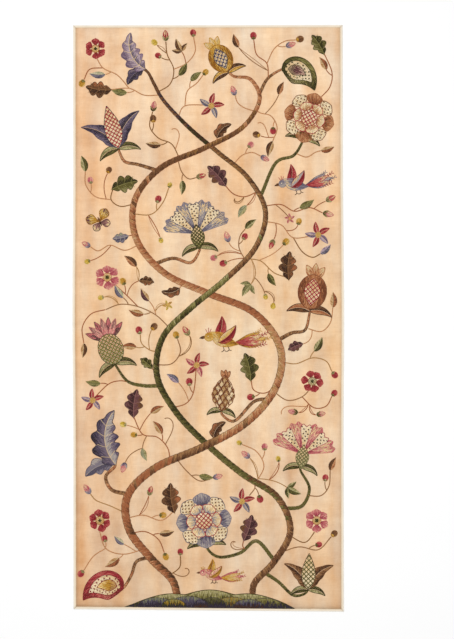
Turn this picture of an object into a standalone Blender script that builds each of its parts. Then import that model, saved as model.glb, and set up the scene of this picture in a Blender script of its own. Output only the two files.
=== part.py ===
"""A crewel embroidery panel: one loom width of beige cloth, lying flat and face up, bound with narrow cream
tape and worked in raised wool with a tree of life. Metres, +X to the panel's right, +Y to its top edge, +Z up
out of its face. Its origin is under the panel's middle, on the surface that it lies on."""

import math

import bmesh
import bpy
import numpy as np

# Cloth and tape
PANEL_WIDTH = 0.920
PANEL_HEIGHT = 2.000
CLOTH_THICK = 0.0016
TAPE_THICK = 0.0006
TAPE_WIDTH = 0.0090
TAPE_ROUND = 0.0008
CLEARANCE = 0.0003
MITRE_GAP = 0.00022
EDGE_LIFT = TAPE_THICK + CLEARANCE
BOUND_HEIGHT = CLOTH_THICK + 2 * EDGE_LIFT
SETTLED_AT = TAPE_WIDTH + 0.0115

# How far each corner lies from a true rectangle's, and how far each long side bows out near its middle
CORNER_OFFSETS = {
    "lower_left": (0.0007, 0.0065),
    "lower_right": (0.0030, -0.0020),
    "upper_right": (-0.0012, -0.0003),
    "upper_left": (-0.0010, -0.0013),
}
SIDE_BOW = {"left": 0.0027, "right": 0.0030, "bottom": 0.0, "top": 0.0}
BOW_MIDDLE = 0.51
BOW_REACH = 0.24
SIDE_STEPS = {"left": 13, "right": 13, "bottom": 5, "top": 5}

# Wool work
WOOL_HEIGHT = 0.0010
LAYER_RISE = 0.0004
PIECE_STEP = 0.00002
WOOL_FLOOR = CLOTH_THICK + CLEARANCE
STEM_RISE = 0.3
BRANCH_RISE = 0.15
STEM_SPACING = 0.034
BRANCH_SPACING = 0.018
STALK_GAP = 0.0008
CROSSING_REACH = 0.08
FINE_SPACING = 0.002
MERGE_WITHIN = 0.00002

# Wool colours, as sRGB
WOOLS = {
    "rust": (178, 111, 70),
    "brown": (124, 82, 50),
    "tan": (190, 144, 90),
    "moss": (110, 101, 50),
    "sage": (156, 146, 94),
    "navy": (90, 78, 98),
    "slate": (144, 134, 144),
    "lilac": (156, 132, 148),
    "crimson": (176, 60, 64),
    "rose": (208, 118, 118),
    "plum": (122, 78, 76),
    "gold": (208, 156, 58),
}
CLOTH_COLOUR = (236, 199, 159)
TAPE_COLOUR = (236, 221, 197)

# Stems, from the mound up: places on their middle line, and their width
TRUNK = [
    # x, y, width
    (-0.105, -0.950, 0.024),
    (-0.125, -0.890, 0.025),
    (-0.195, -0.820, 0.026),
    (-0.270, -0.720, 0.026),
    (-0.275, -0.605, 0.026),
    (-0.180, -0.510, 0.025),
    (-0.020, -0.440, 0.025),
    (0.130, -0.355, 0.025),
    (0.230, -0.235, 0.024),
    (0.245, -0.100, 0.024),
    (0.155, 0.020, 0.023),
    (0.000, 0.085, 0.022),
    (-0.150, 0.155, 0.021),
    (-0.245, 0.270, 0.021),
    (-0.250, 0.405, 0.020),
    (-0.160, 0.515, 0.019),
    (-0.015, 0.580, 0.017),
    (0.115, 0.650, 0.015),
    (0.175, 0.745, 0.013),
    (0.145, 0.815, 0.011),
    (0.087, 0.826, 0.008),
    (0.062, 0.852, 0.008),
]
VINE = [
    # x, y, width
    (0.150, -0.950, 0.020),
    (0.160, -0.900, 0.021),
    (0.225, -0.830, 0.021),
    (0.280, -0.725, 0.021),
    (0.235, -0.610, 0.021),
    (0.115, -0.530, 0.021),
    (-0.005, -0.430, 0.020),
    (-0.110, -0.320, 0.020),
    (-0.175, -0.195, 0.020),
    (-0.155, -0.065, 0.019),
    (-0.060, 0.035, 0.019),
    (0.055, 0.130, 0.018),
    (0.160, 0.240, 0.017),
    (0.195, 0.365, 0.016),
    (0.135, 0.480, 0.015),
    (0.035, 0.565, 0.014),
    (-0.065, 0.650, 0.013),
    (-0.150, 0.740, 0.011),
    (-0.185, 0.800, 0.010),
    (-0.205, 0.838, 0.008),
    (-0.228, 0.857, 0.008),
]

# Where one stem passes over the other, as the height of the crossing on the panel
CROSSINGS = [
    # over, under, y
    ("trunk", "vine", -0.435),
    ("vine", "trunk", 0.085),
    ("trunk", "vine", 0.585),
]

# Stalks that carry the large blossoms: the stem that each grows from, then x, y and width along it
BRANCHES = [
    ("vine", [(0.225, -0.825, 0.012), (0.165, -0.760, 0.011), (0.110, -0.800, 0.010), (0.040, -0.815, 0.009),
              (0.000, -0.790, 0.008), (-0.009, -0.747, 0.008)]),
    ("trunk", [(-0.200, -0.815, 0.012), (-0.245, -0.830, 0.010), (-0.262, -0.875, 0.009),
               (-0.288, -0.918, 0.008), (-0.304, -0.916, 0.008)]),
    ("vine", [(0.192, -0.868, 0.012), (0.240, -0.900, 0.010), (0.290, -0.945, 0.009), (0.332, -0.938, 0.007),
              (0.340, -0.915, 0.007)]),
    ("trunk", [(-0.275, -0.600, 0.013), (-0.330, -0.585, 0.011), (-0.350, -0.540, 0.010),
               (-0.318, -0.505, 0.008), (-0.329, -0.485, 0.008)]),
    ("vine", [(0.260, -0.650, 0.012), (0.320, -0.640, 0.011), (0.345, -0.580, 0.009), (0.315, -0.520, 0.007),
              (0.317, -0.498, 0.007)]),
    ("vine", [(-0.165, -0.230, 0.012), (-0.220, -0.230, 0.011), (-0.275, -0.215, 0.009),
              (-0.313, -0.165, 0.007), (-0.321, -0.143, 0.007)]),
    ("trunk", [(0.205, -0.275, 0.012), (0.155, -0.285, 0.010), (0.090, -0.350, 0.009), (0.047, -0.328, 0.007),
               (0.047, -0.305, 0.007)]),
    ("trunk", [(0.238, -0.075, 0.013), (0.285, -0.050, 0.011), (0.330, -0.040, 0.009), (0.345, 0.015, 0.007),
               (0.348, 0.042, 0.007)]),
    ("trunk", [(-0.185, 0.185, 0.012), (-0.120, 0.205, 0.010), (-0.060, 0.190, 0.009), (-0.030, 0.232, 0.007),
               (-0.033, 0.253, 0.007)]),
    ("trunk", [(-0.175, 0.505, 0.012), (-0.240, 0.525, 0.010), (-0.285, 0.535, 0.009),
               (-0.304, 0.570, 0.007), (-0.310, 0.591, 0.007)]),
    ("vine", [(0.180, 0.420, 0.011), (0.230, 0.530, 0.010), (0.290, 0.555, 0.009), (0.320, 0.600, 0.007),
              (0.330, 0.634, 0.007)]),
    ("trunk", [(0.172, 0.760, 0.010), (0.200, 0.815, 0.009), (0.240, 0.845, 0.007), (0.265, 0.852, 0.007)]),
]

# Motifs: x and y of the foot, or of the middle for birds and round flowers, degrees turned left, and length
MOTIFS = [
    # node, kind, x, y, turn, size, mirrored, wool
    ("mound", "mound", 0.005, -0.974, 0, 0.510, False, "sage"),
    ("peony_blue", "peony", -0.005, -0.785, 6, 0.190, False, "slate"),
    ("paisley_red", "paisley", -0.290, -0.925, 58, 0.160, True, "crimson"),
    ("tulip_brown", "tulip", 0.340, -0.930, -2, 0.140, False, "brown"),
    ("acanthus_navy", "acanthus", -0.315, -0.500, 44, 0.205, False, "navy"),
    ("carnation_rose", "carnation", 0.315, -0.515, -8, 0.172, False, "rose"),
    ("thistle_plum", "thistle", -0.315, -0.160, 18, 0.180, False, "plum"),
    ("cone_tan", "cone", 0.045, -0.320, -6, 0.150, False, "tan"),
    ("pomegranate_gold", "pomegranate", 0.345, 0.020, -8, 0.170, False, "rust"),
    ("carnation_blue", "carnation", -0.030, 0.235, 8, 0.180, False, "slate"),
    ("tulip_blue", "tulip", -0.305, 0.575, 16, 0.170, False, "navy"),
    ("peony_brown", "peony", 0.320, 0.600, -16, 0.175, False, "rust"),
    ("pomegranate_top", "pomegranate", 0.070, 0.835, 28, 0.140, False, "gold"),
    ("acanthus_lilac", "acanthus", -0.215, 0.850, 64, 0.148, False, "lilac"),
    ("paisley_green", "paisley", 0.250, 0.848, -75, 0.150, False, "moss"),
    ("bird_gold", "bird", 0.060, -0.085, 4, 0.220, True, "gold"),
    ("bird_blue", "bird", 0.305, 0.448, 12, 0.190, True, "slate"),
    ("bird_rose", "bird", 0.020, -0.885, 0, 0.150, True, "rose"),
    ("butterfly", "butterfly", -0.370, 0.330, 25, 0.100, False, "gold"),
    ("rosette_red_low", "rosette", -0.370, -0.690, 10, 0.085, False, "crimson"),
    ("rosette_pink_low", "rosette", 0.370, -0.690, 0, 0.090, False, "rose"),
    ("rosette_red_mid", "rosette", 0.355, -0.215, 20, 0.085, False, "crimson"),
    ("rosette_pink_mid", "rosette", -0.345, 0.140, 5, 0.090, False, "rose"),
    ("rosette_red_top", "rosette", -0.385, 0.920, 0, 0.080, False, "crimson"),
    ("star_low", "star", 0.115, -0.625, 10, 0.095, False, "crimson"),
    ("star_mid", "star", -0.040, -0.160, 0, 0.090, False, "crimson"),
    ("star_left", "star", -0.395, -0.280, 15, 0.085, False, "crimson"),
    ("star_right", "star", 0.375, 0.285, 25, 0.095, False, "crimson"),
    ("star_top", "star", 0.010, 0.725, 0, 0.095, False, "crimson"),
    ("oak_low_left", "oak", -0.115, -0.665, 20, 0.105, False, "brown"),
    ("oak_low_right", "oak", 0.120, -0.760, -30, 0.095, True, "plum"),
    ("oak_mid_left", "oak", -0.255, -0.340, 5, 0.100, False, "plum"),
    ("oak_mid_right", "oak", 0.145, -0.215, 0, 0.100, True, "moss"),
    ("oak_right", "oak", 0.275, 0.130, 10, 0.100, False, "brown"),
    ("oak_upper_left", "oak", -0.330, 0.440, -60, 0.095, False, "moss"),
    ("oak_upper_right", "oak", 0.060, 0.450, 30, 0.095, True, "plum"),
    ("oak_top_left", "oak", -0.330, 0.780, 95, 0.090, False, "brown"),
    ("oak_top_right", "oak", 0.395, 0.900, 20, 0.080, True, "moss"),
]


# Outlines: arrays of x and y, running counter-clockwise


def blade(length, width, peak=0.45, points=8, lobes=0, depth=0.0, sweep=1.0):
    """A leaf or petal on the origin that grows along +Y, widest at peak, its edge cut into lobes."""
    t = np.linspace(0, 1, points + 1)[1:-1]
    half = width / 2 * np.sin(math.pi * t ** (math.log(0.5) / math.log(peak)))
    if lobes:
        along = (lobes * t) % 1.0
        half = half * (1 - depth * (1 - np.sin(math.pi * along ** sweep) ** 0.8))
    right = np.column_stack([half, t * length])
    left = np.column_stack([-half[::-1], t[::-1] * length])
    return np.vstack([[(0, 0)], right, [(0, length)], left])


def disc(radius, points=12, stretch=1.0):
    """A circle about the origin, or an oval stretched along Y."""
    angle = np.arange(points) * 2 * math.pi / points
    return np.column_stack([radius * np.cos(angle), radius * stretch * np.sin(angle)])


def fan_petal(inner, outer, spread, teeth=2):
    """A petal between two radii about the origin, spread degrees wide, its outer edge cut into teeth."""
    angle = np.radians(np.linspace(spread / 2, -spread / 2, teeth * 2 + 1))
    radius = np.where(np.arange(len(angle)) % 2 == 1, outer, outer * 0.9)
    edge = np.column_stack([-radius * np.sin(angle), radius * np.cos(angle)])
    ends = angle[[-1, 0]]
    foot = np.column_stack([-inner * np.sin(ends), inner * np.cos(ends)])
    return np.vstack([edge, foot])[::-1]


def bent(shape, length, bend):
    """Bends the +Y axis into an arc that turns bend degrees to the right over the length."""
    angle = math.radians(bend) * shape[:, 1] / length
    radius = length / math.radians(bend)
    x = radius * (1 - np.cos(angle)) + shape[:, 0] * np.cos(angle)
    y = radius * np.sin(angle) - shape[:, 0] * np.sin(angle)
    return np.column_stack([x, y])


def moved(shape, x=0.0, y=0.0, turn=0.0, scale=1.0, mirrored=False):
    """Mirrors and scales an outline about the origin, turns it turn degrees to the left, then moves it."""
    c, s = math.cos(math.radians(turn)), math.sin(math.radians(turn))
    shape = np.asarray(shape, float) * (-scale if mirrored else scale, scale)
    placed = np.column_stack([shape[:, 0] * c - shape[:, 1] * s + x, shape[:, 0] * s + shape[:, 1] * c + y])
    return placed[::-1] if mirrored else placed


def sepals(length, width, turn, bend, foot=0.02):
    """A pair of small leaves that curl away from a flower's foot."""
    shape = blade(length, width, 0.4, 6)
    return [(moved(bent(shape, length, side * bend), -side * width / 8, foot, -side * turn), 0.0)
            for side in (1, -1)]


# Motifs: lists of (outline, layer), one unit long, standing on the origin and growing along +Y


def peony():
    outer = moved(blade(0.32, 0.33, 0.66, 7), 0, 0.18)
    petals = [(moved(outer, 0, 0.5, 45 * k), 0.2 * (k % 2)) for k in range(8)]
    small = moved(blade(0.22, 0.27, 0.62, 5), 0, 0.10)
    inner = [(moved(small, 0, 0.5, 60 * k + 30), 0.5) for k in range(6)]
    return petals + inner + sepals(0.40, 0.13, 72, 60, 0.10) + [(moved(disc(0.16), 0, 0.5), 1.0)]


def pomegranate():
    crown = [(moved(blade(0.34, 0.15, 0.5, 5), 0, 0.66, turn), 0.2) for turn in (-34, 0, 34)]
    rind = (moved(disc(0.29, 16, 1.2), 0, 0.42), 0.5)
    seeds = (moved(blade(0.56, 0.32, 0.5, 8), 0, 0.14), 1.0)
    return [rind] + crown + sepals(0.52, 0.17, 62, 70) + [seeds]


def tulip():
    wing = blade(0.88, 0.32, 0.36, 13, 3, 0.22, 1.5)
    wings = [(moved(bent(wing, 0.88, side * 62), 0.02 * side, 0.05, -side * 14), 0.0)
             for side in (1, -1)]
    return [(moved(blade(0.90, 0.34, 0.42, 9), 0, 0.02), 0.6)] + wings + sepals(0.50, 0.16, 72, 70)


def carnation():
    fan = []
    for k in range(7):
        petal = fan_petal(0.08, 0.66 - 0.05 * (k % 2), 25)
        fan.append((moved(petal, 0, 0.30, 66 - 22 * k), 0.25 * (k % 2)))
    return [(blade(0.48, 0.26, 0.5, 8), 0.7)] + fan + sepals(0.42, 0.13, 70, 80, 0.04)


def thistle():
    spike = blade(0.46, 0.12, 0.55, 5)
    tuft = [(moved(spike, 0, 0.48, 54 - 18 * k), 0.2 * (k % 2)) for k in range(7)]
    return [(moved(disc(0.24, 14, 1.25), 0, 0.32), 0.7)] + tuft + sepals(0.46, 0.15, 75, 75, 0.03)


def paisley():
    bands = [
        # length, width, peak, points, foot, layer
        (1.00, 0.62, 0.36, 16, 0.00, 0.0),
        (0.74, 0.44, 0.38, 12, 0.07, 0.5),
        (0.44, 0.24, 0.40, 9, 0.15, 1.0),
    ]
    return [(bent(moved(blade(length, width, peak, points), 0, foot), 1.0, 95), layer)
            for length, width, peak, points, foot, layer in bands]


def acanthus():
    leaf = bent(blade(1.0, 0.50, 0.40, 25, 5, 0.42, 1.6), 1.0, 85)
    curl = moved(bent(blade(0.56, 0.30, 0.45, 15, 3, 0.40, 1.6), 0.56, -60), 0.0, 0.03, 40)
    return [(leaf, 0.5), (curl, 0.0)]


def cone():
    tuft = [(moved(blade(0.24, 0.10, 0.5, 5), 0, 0.74, turn), 0.0) for turn in (-26, 0, 26)]
    body = moved(blade(0.84, 0.54, 0.44, 23, 6, 0.16, 1.5), 0, 0.02)
    return [(body, 0.5)] + tuft + sepals(0.40, 0.13, 70, 80)


def rosette():
    petal = moved(blade(0.40, 0.38, 0.64, 5), 0, 0.08)
    petals = [(moved(petal, 0, 0, 60 * k), 0.2 * (k % 2)) for k in range(6)]
    return petals + [(disc(0.14, 8), 0.7)]


def star():
    petal = moved(blade(0.46, 0.19, 0.42, 5), 0, 0.03)
    petals = [(moved(petal, 0, 0, 72 * k), 0.1 * (k % 3)) for k in range(5)]
    return petals + [(disc(0.11, 7), 0.6)]


def oak():
    return [(bent(blade(1.0, 0.66, 0.50, 21, 3.5, 0.50), 1.0, 25), 0.2)]


def bird():
    """Looks along +X, its tail to -X."""
    body = (moved(bent(blade(0.50, 0.21, 0.56, 8), 0.50, -34), -0.20, -0.03, -80), 0.5)
    head = (moved(disc(0.070, 9), 0.255, 0.115), 0.7)
    beak = (moved(blade(0.11, 0.050, 0.3, 5), 0.305, 0.120, -98), 0.4)
    far_wing = (moved(bent(blade(0.40, 0.16, 0.40, 6), 0.40, 50), 0.15, 0.06, 42), 0.3)
    near_wing = (moved(bent(blade(0.40, 0.16, 0.40, 7), 0.40, 45), 0.12, 0.02, 72), 1.0)
    tail = []
    for k in range(-2, 3):
        length = 0.52 - 0.05 * abs(k)
        feather = bent(blade(length, 0.085, 0.62, 5), length, 8 * k + 14)
        tail.append((moved(feather, -0.13, 0.0, 92 + 10 * k), 0.15 * (k % 2)))
    return [body, head, beak, far_wing, near_wing] + tail


def butterfly():
    upper = [(moved(blade(0.50, 0.36, 0.66, 8), 0, 0, 52 * side), 0.2) for side in (1, -1)]
    lower = [(moved(blade(0.36, 0.28, 0.62, 7), 0, -0.02, 122 * side), 0.0) for side in (1, -1)]
    return [(moved(blade(0.42, 0.07, 0.6, 6), 0, -0.22), 0.6)] + upper + lower


def mound():
    """Three low hillocks on a flat foot."""
    x = np.linspace(0.5, -0.5, 25)
    swell = np.maximum(0, np.cos(math.pi * x)) ** 0.7
    top = 0.008 + 0.085 * swell * (0.70 + 0.30 * np.abs(np.cos(3 * math.pi * x)))
    return [(np.vstack([[(-0.5, 0)], [(0.5, 0)], np.column_stack([x, top])]), 0.2)]


KINDS = {shape.__name__: shape for shape in (
    peony, pomegranate, tulip, carnation, thistle, paisley, acanthus, cone, rosette, star, oak, bird,
    butterfly, mound)}


# Paths: arrays of x, y and width


def smooth_path(rows, spacing):
    """A Catmull-Rom curve through the rows, with about one point each spacing."""
    rows = np.asarray(rows, float)
    rows = np.vstack([2 * rows[0] - rows[1], rows, 2 * rows[-1] - rows[-2]])
    pieces = []
    for a, b, c, d in zip(rows[:-3], rows[1:-2], rows[2:-1], rows[3:]):
        count = max(1, round(math.dist(b[:2], c[:2]) / spacing))
        t = (np.arange(count) / count)[:, None]
        square, cube = 2 * a - 5 * b + 4 * c - d, 3 * b - a - 3 * c + d
        pieces.append((2 * b + (c - a) * t + square * t ** 2 + cube * t ** 3) / 2)
    return np.vstack(pieces + [rows[-2:-1]])


def ribbon(path):
    """The outline of a stem that follows a path, with round ends."""
    middle, half = path[:, :2], path[:, 2] / 2
    along = np.gradient(middle, axis=0)
    along /= np.linalg.norm(along, axis=1)[:, None]
    aside = np.column_stack([-along[:, 1], along[:, 0]])
    left = middle + aside * half[:, None]
    right = middle - aside * half[:, None]
    turns = np.radians((45, 90, 135))
    head = [middle[-1] + half[-1] * (along[-1] * math.sin(a) - aside[-1] * math.cos(a)) for a in turns]
    foot = [middle[0] - half[0] * (along[0] * math.sin(a) - aside[0] * math.cos(a)) for a in turns]
    return np.vstack([right, head, left[::-1], foot])


def distance_to(point, shape):
    """How far a point lies from an outline, or 0 inside it."""
    start, end = shape, np.roll(shape, -1, axis=0)
    edge = end - start
    t = np.clip(((point - start) * edge).sum(1) / (edge ** 2).sum(1), 0, 1)
    nearest = np.linalg.norm(start + edge * t[:, None] - point, axis=1).min()
    rises = (start[:, 1] > point[1]) != (end[:, 1] > point[1])
    crossing_x = start[rises, 0] + (point[1] - start[rises, 1]) * edge[rises, 0] / edge[rises, 1]
    return 0.0 if (crossing_x > point[0]).sum() % 2 else nearest


def clear_of(path, shapes):
    """The stretch of a path, from its start, that keeps STALK_GAP from all the outlines."""
    for i, (x, y, width) in enumerate(path):
        if min(distance_to(np.array((x, y)), shape) for shape in shapes) < width / 2 + STALK_GAP:
            return path[:i]
    return path


# Solids


def material(name, srgb, roughness=0.9):
    """A matt cloth or wool finish."""
    finish = bpy.data.materials.get(name) or bpy.data.materials.new(name)
    finish.use_nodes = True
    shares = [c / 255 for c in srgb]
    linear = [c / 12.92 if c <= 0.04045 else ((c + 0.055) / 1.055) ** 2.4 for c in shares]
    shader = finish.node_tree.nodes["Principled BSDF"]
    shader.inputs["Base Color"].default_value = (*linear, 1)
    shader.inputs["Roughness"].default_value = roughness
    shader.inputs["Metallic"].default_value = 0.0
    finish.diffuse_color = (*linear, 1)
    return finish


def add_object(name, mesh):
    solid = bpy.data.objects.new(name, mesh)
    bpy.context.scene.collection.objects.link(solid)
    return solid


def mesh_of(name, points, faces):
    mesh = bpy.data.meshes.new(name)
    mesh.from_pydata([tuple(p) for p in points], [], faces)
    mesh.validate()
    return mesh


def slab(shape, bottom, top):
    """The points and faces of an outline raised from bottom to top."""
    count = len(shape)
    points = [(x, y, bottom) for x, y in shape] + [(x, y, top) for x, y in shape]
    faces = [list(range(count))[::-1], list(range(count, 2 * count))]
    faces += [[i, (i + 1) % count, count + (i + 1) % count, count + i] for i in range(count)]
    return points, faces


def raised(name, parts, finish):
    """One solid of overlapping outlines, each at the height of its layer."""
    solid = add_object(name, slab_mesh(name, parts[:1], 0))
    if len(parts) > 1:
        others = add_object(name + "_others", slab_mesh(name, parts[1:], 1))
        join = solid.modifiers.new("join", "BOOLEAN")
        join.operation = "UNION"
        join.solver = "EXACT"
        join.use_self = True
        join.object = others
        joined = solid.evaluated_get(bpy.context.evaluated_depsgraph_get())
        solid.data = bpy.data.meshes.new_from_object(joined)
        solid.modifiers.clear()
        bpy.data.objects.remove(others)
    clean(solid.data)
    solid.data.materials.clear()
    solid.data.materials.append(finish)


def slab_mesh(name, parts, first_index):
    """A mesh of slabs whose faces lie a hair apart in height, so that none is flush with another."""
    points, faces = [], []
    for k, (shape, layer) in enumerate(parts, first_index):
        bottom = WOOL_FLOOR + k * PIECE_STEP
        top = WOOL_FLOOR + WOOL_HEIGHT + layer * LAYER_RISE + k * PIECE_STEP
        more_points, more_faces = slab(shape, bottom, top)
        faces += [[i + len(points) for i in face] for face in more_faces]
        points += more_points
    return mesh_of(name, points, faces)


def clean(mesh):
    """Brings the undersides of the joined slabs into one plane and leaves each flat face whole."""
    shape = bmesh.new()
    shape.from_mesh(mesh)
    for point in shape.verts:
        if point.co.z < WOOL_FLOOR + WOOL_HEIGHT / 2:
            point.co.z = WOOL_FLOOR
    bmesh.ops.remove_doubles(shape, verts=shape.verts, dist=MERGE_WITHIN)
    bmesh.ops.dissolve_degenerate(shape, edges=shape.edges, dist=MERGE_WITHIN)
    bmesh.ops.dissolve_limit(shape, angle_limit=math.radians(0.05), verts=shape.verts, edges=shape.edges)
    shape.to_mesh(mesh)
    shape.free()


# Panel


SIDES = [
    # side, first corner, last corner, inward
    ("bottom", "lower_left", "lower_right", (0, 1)),
    ("right", "lower_right", "upper_right", (-1, 0)),
    ("top", "upper_right", "upper_left", (0, -1)),
    ("left", "upper_left", "lower_left", (1, 0)),
]


def corner(name):
    row, column = name.split("_")
    x = PANEL_WIDTH / 2 * (1 if column == "right" else -1)
    y = PANEL_HEIGHT / 2 * (1 if row == "upper" else -1)
    return np.array((x, y)) + CORNER_OFFSETS[name]


def side_points(side, first, last, inward, inset, end_inset):
    """Points along a side, inset from the panel's edge, stopping end_inset short of the two corners."""
    start, end = corner(first), corner(last)
    short = end_inset / np.linalg.norm(end - start)
    t = np.linspace(short, 1 - short, SIDE_STEPS[side] + 1)
    height = t if side == "right" else 1 - t
    reach = np.clip((height - BOW_MIDDLE) / BOW_REACH, -1, 1)
    bow = SIDE_BOW[side] * np.cos(math.pi / 2 * reach) ** 2
    return start + (end - start) * t[:, None] + np.outer(inset - bow, inward) - MIDDLE


def outline(inset):
    return np.vstack([side_points(*side, inset, inset)[:-1] for side in SIDES])


def middle_of_box():
    points = outline(0.0)
    return (points.min(axis=0) + points.max(axis=0)) / 2


def make_ground_cloth():
    """A sheet that lies on the surface, lifted at its edge by the tape's lower fold."""
    rings = [
        # inset, bottom
        (EDGE_LIFT, EDGE_LIFT),
        (TAPE_WIDTH + CLEARANCE, EDGE_LIFT),
        (SETTLED_AT, 0.0),
    ]
    points, count = [], len(outline(0.0))
    for rise in (0.0, CLOTH_THICK):
        for inset, bottom in rings:
            points += [(x, y, bottom + rise) for x, y in outline(inset)]
    under, over = 0, 3 * count
    floor = list(range(under + 2 * count, under + 3 * count))[::-1]
    faces = [floor, list(range(over + 2 * count, over + 3 * count))]
    for i in range(count):
        j = (i + 1) % count
        for ring in (0, count):
            low, high = under + ring, over + ring
            faces.append([low + j, low + i, low + count + i, low + count + j])
            faces.append([high + i, high + j, high + count + j, high + count + i])
        faces.append([under + i, under + j, over + j, over + i])
    cloth = add_object("ground_cloth", mesh_of("ground_cloth", points, faces))
    cloth.data.materials.append(material("twill", CLOTH_COLOUR))


def make_binding(side):
    """Tape folded over one edge of the cloth: a thin channel that opens inward, with mitred ends."""
    inner, high = TAPE_THICK, BOUND_HEIGHT - TAPE_THICK
    channel = [
        # inset, height
        (TAPE_ROUND, 0.0),
        (TAPE_WIDTH, 0.0),
        (TAPE_WIDTH, TAPE_THICK),
        (inner, TAPE_THICK),
        (inner, high),
        (TAPE_WIDTH, high),
        (TAPE_WIDTH, BOUND_HEIGHT),
        (TAPE_ROUND, BOUND_HEIGHT),
        (0.0, BOUND_HEIGHT - TAPE_ROUND),
        (0.0, TAPE_ROUND),
    ]
    rows = [[(x, y, height) for x, y in side_points(*side, inset, inset + MITRE_GAP)]
            for inset, height in channel]
    stations, around = len(rows[0]), len(channel)
    points = [rows[j][i] for i in range(stations) for j in range(around)]
    faces = [list(range(around))[::-1], list(range((stations - 1) * around, stations * around))]
    for i in range(stations - 1):
        for j in range(around):
            a, b = i * around + j, i * around + (j + 1) % around
            faces.append([a, b, b + around, a + around])
    name = "binding_" + side[0]
    binding = add_object(name, mesh_of(name, points, faces))
    binding.data.materials.append(material("tape", TAPE_COLOUR, 0.85))


# Wool work


def motif_parts(kind, x, y, turn, size, mirrored):
    return [(moved(shape, x, y, turn, size, mirrored), layer) for shape, layer in KINDS[kind]()]


def make_motif(name, kind, x, y, turn, size, mirrored, wool):
    raised(name, motif_parts(kind, x, y, turn, size, mirrored), material(wool, WOOLS[wool]))


def stretches(path, over_path, heights):
    """Cuts a path where it passes under another, leaving STALK_GAP on each side of the stem above it."""
    cover = ribbon(over_path)
    covered = np.array([abs(y - heights).min() < CROSSING_REACH and
                        distance_to(np.array((x, y)), cover) < width / 2 + STALK_GAP for x, y, width in path])
    cuts = np.flatnonzero(np.diff(covered.astype(int)))
    pieces = np.split(path, cuts + 1)
    return [piece for piece, start in zip(pieces, np.r_[0, cuts + 1]) if not covered[start]]


def thinned(path, spacing):
    """Keeps about one point each spacing, and both ends."""
    count = max(2, round(np.linalg.norm(np.diff(path[:, :2], axis=0), axis=1).sum() / spacing) + 1)
    keep = np.unique(np.round(np.linspace(0, len(path) - 1, count)).astype(int))
    return path[keep]


def make_stems():
    """The trunk and the vine in stretches between their crossings, each with the stalks that grow from it."""
    fine = {"trunk": smooth_path(TRUNK, FINE_SPACING), "vine": smooth_path(VINE, FINE_SPACING)}
    wools = {"trunk": "rust", "vine": "moss"}
    blossoms = [shape for row in MOTIFS for shape, _ in motif_parts(*row[1:7])]
    for stem, other in (("trunk", "vine"), ("vine", "trunk")):
        heights = np.array([y for _, under, y in CROSSINGS if under == stem])
        cover = fine[other]
        above_ground = clear_of(fine[stem][::-1], blossoms[:1])[::-1]
        above_ground = clear_of(above_ground, blossoms[1:])
        for k, stretch in enumerate(stretches(above_ground, cover, heights), 1):
            parts = [(ribbon(thinned(stretch, STEM_SPACING)), STEM_RISE)]
            for parent, route in BRANCHES:
                start = np.array(route[0][:2])
                if parent == stem and np.linalg.norm(stretch[:, :2] - start, axis=1).min() < route[0][2]:
                    stalk = clear_of(smooth_path(route, FINE_SPACING), blossoms)
                    parts.append((ribbon(thinned(stalk, BRANCH_SPACING)), BRANCH_RISE))
            raised(f"{stem}_{k}", parts, material(wools[stem], WOOLS[wools[stem]]))


for old in list(bpy.data.objects):
    bpy.data.objects.remove(old)

MIDDLE = np.zeros(2)
MIDDLE = middle_of_box()
make_ground_cloth()
for side in SIDES:
    make_binding(side)
make_stems()
for motif in MOTIFS:
    make_motif(*motif)
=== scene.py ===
"""Looks of the crewel embroidery panel: one loom width of warm beige cloth, bound with narrow cream tape and
worked all over in wool. Metres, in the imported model's frame: it lies face up, its top edge towards +Y."""

import math

import bpy
import numpy as np
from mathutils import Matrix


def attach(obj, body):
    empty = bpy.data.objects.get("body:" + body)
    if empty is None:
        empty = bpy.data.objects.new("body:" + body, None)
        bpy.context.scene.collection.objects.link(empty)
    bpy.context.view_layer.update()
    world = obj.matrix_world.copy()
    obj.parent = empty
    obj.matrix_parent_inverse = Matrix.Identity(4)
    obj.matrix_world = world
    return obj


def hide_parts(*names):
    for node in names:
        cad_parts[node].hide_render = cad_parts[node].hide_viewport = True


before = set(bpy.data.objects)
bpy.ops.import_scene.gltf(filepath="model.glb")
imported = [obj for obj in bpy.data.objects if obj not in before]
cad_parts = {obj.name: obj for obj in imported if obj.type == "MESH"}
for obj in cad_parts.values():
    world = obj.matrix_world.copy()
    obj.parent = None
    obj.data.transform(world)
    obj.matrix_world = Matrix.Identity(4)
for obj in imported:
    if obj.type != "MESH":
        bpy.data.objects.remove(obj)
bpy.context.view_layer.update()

RNG = np.random.default_rng(17)

# Cloth and tape, as in the frame
PANEL_WIDTH = 0.920
PANEL_HEIGHT = 2.000
CLOTH_THICK = 0.0016
TAPE_THICK = 0.0006
TAPE_WIDTH = 0.0090
CLEARANCE = 0.0003
MITRE_GAP = 0.00022
EDGE_LIFT = TAPE_THICK + CLEARANCE
BOUND_HEIGHT = CLOTH_THICK + 2 * EDGE_LIFT
SETTLED_AT = TAPE_WIDTH + 0.0115

# How far out of true the corners lie, and where they are: lower left and right, then upper left and right
CORNER_OFFSETS = np.array([[(0.0007, 0.0065), (0.0030, -0.0020)], [(-0.0010, -0.0013), (-0.0012, -0.0003)]])
CORNER_SIGNS = np.array([[(-1, -1), (1, -1)], [(-1, 1), (1, 1)]])
CORNERS = CORNER_SIGNS * (PANEL_WIDTH / 2, PANEL_HEIGHT / 2) + CORNER_OFFSETS
LEFT_BOW = 0.0027
RIGHT_BOW = 0.0030
BOW_MIDDLE = 0.51
BOW_REACH = 0.24

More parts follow.
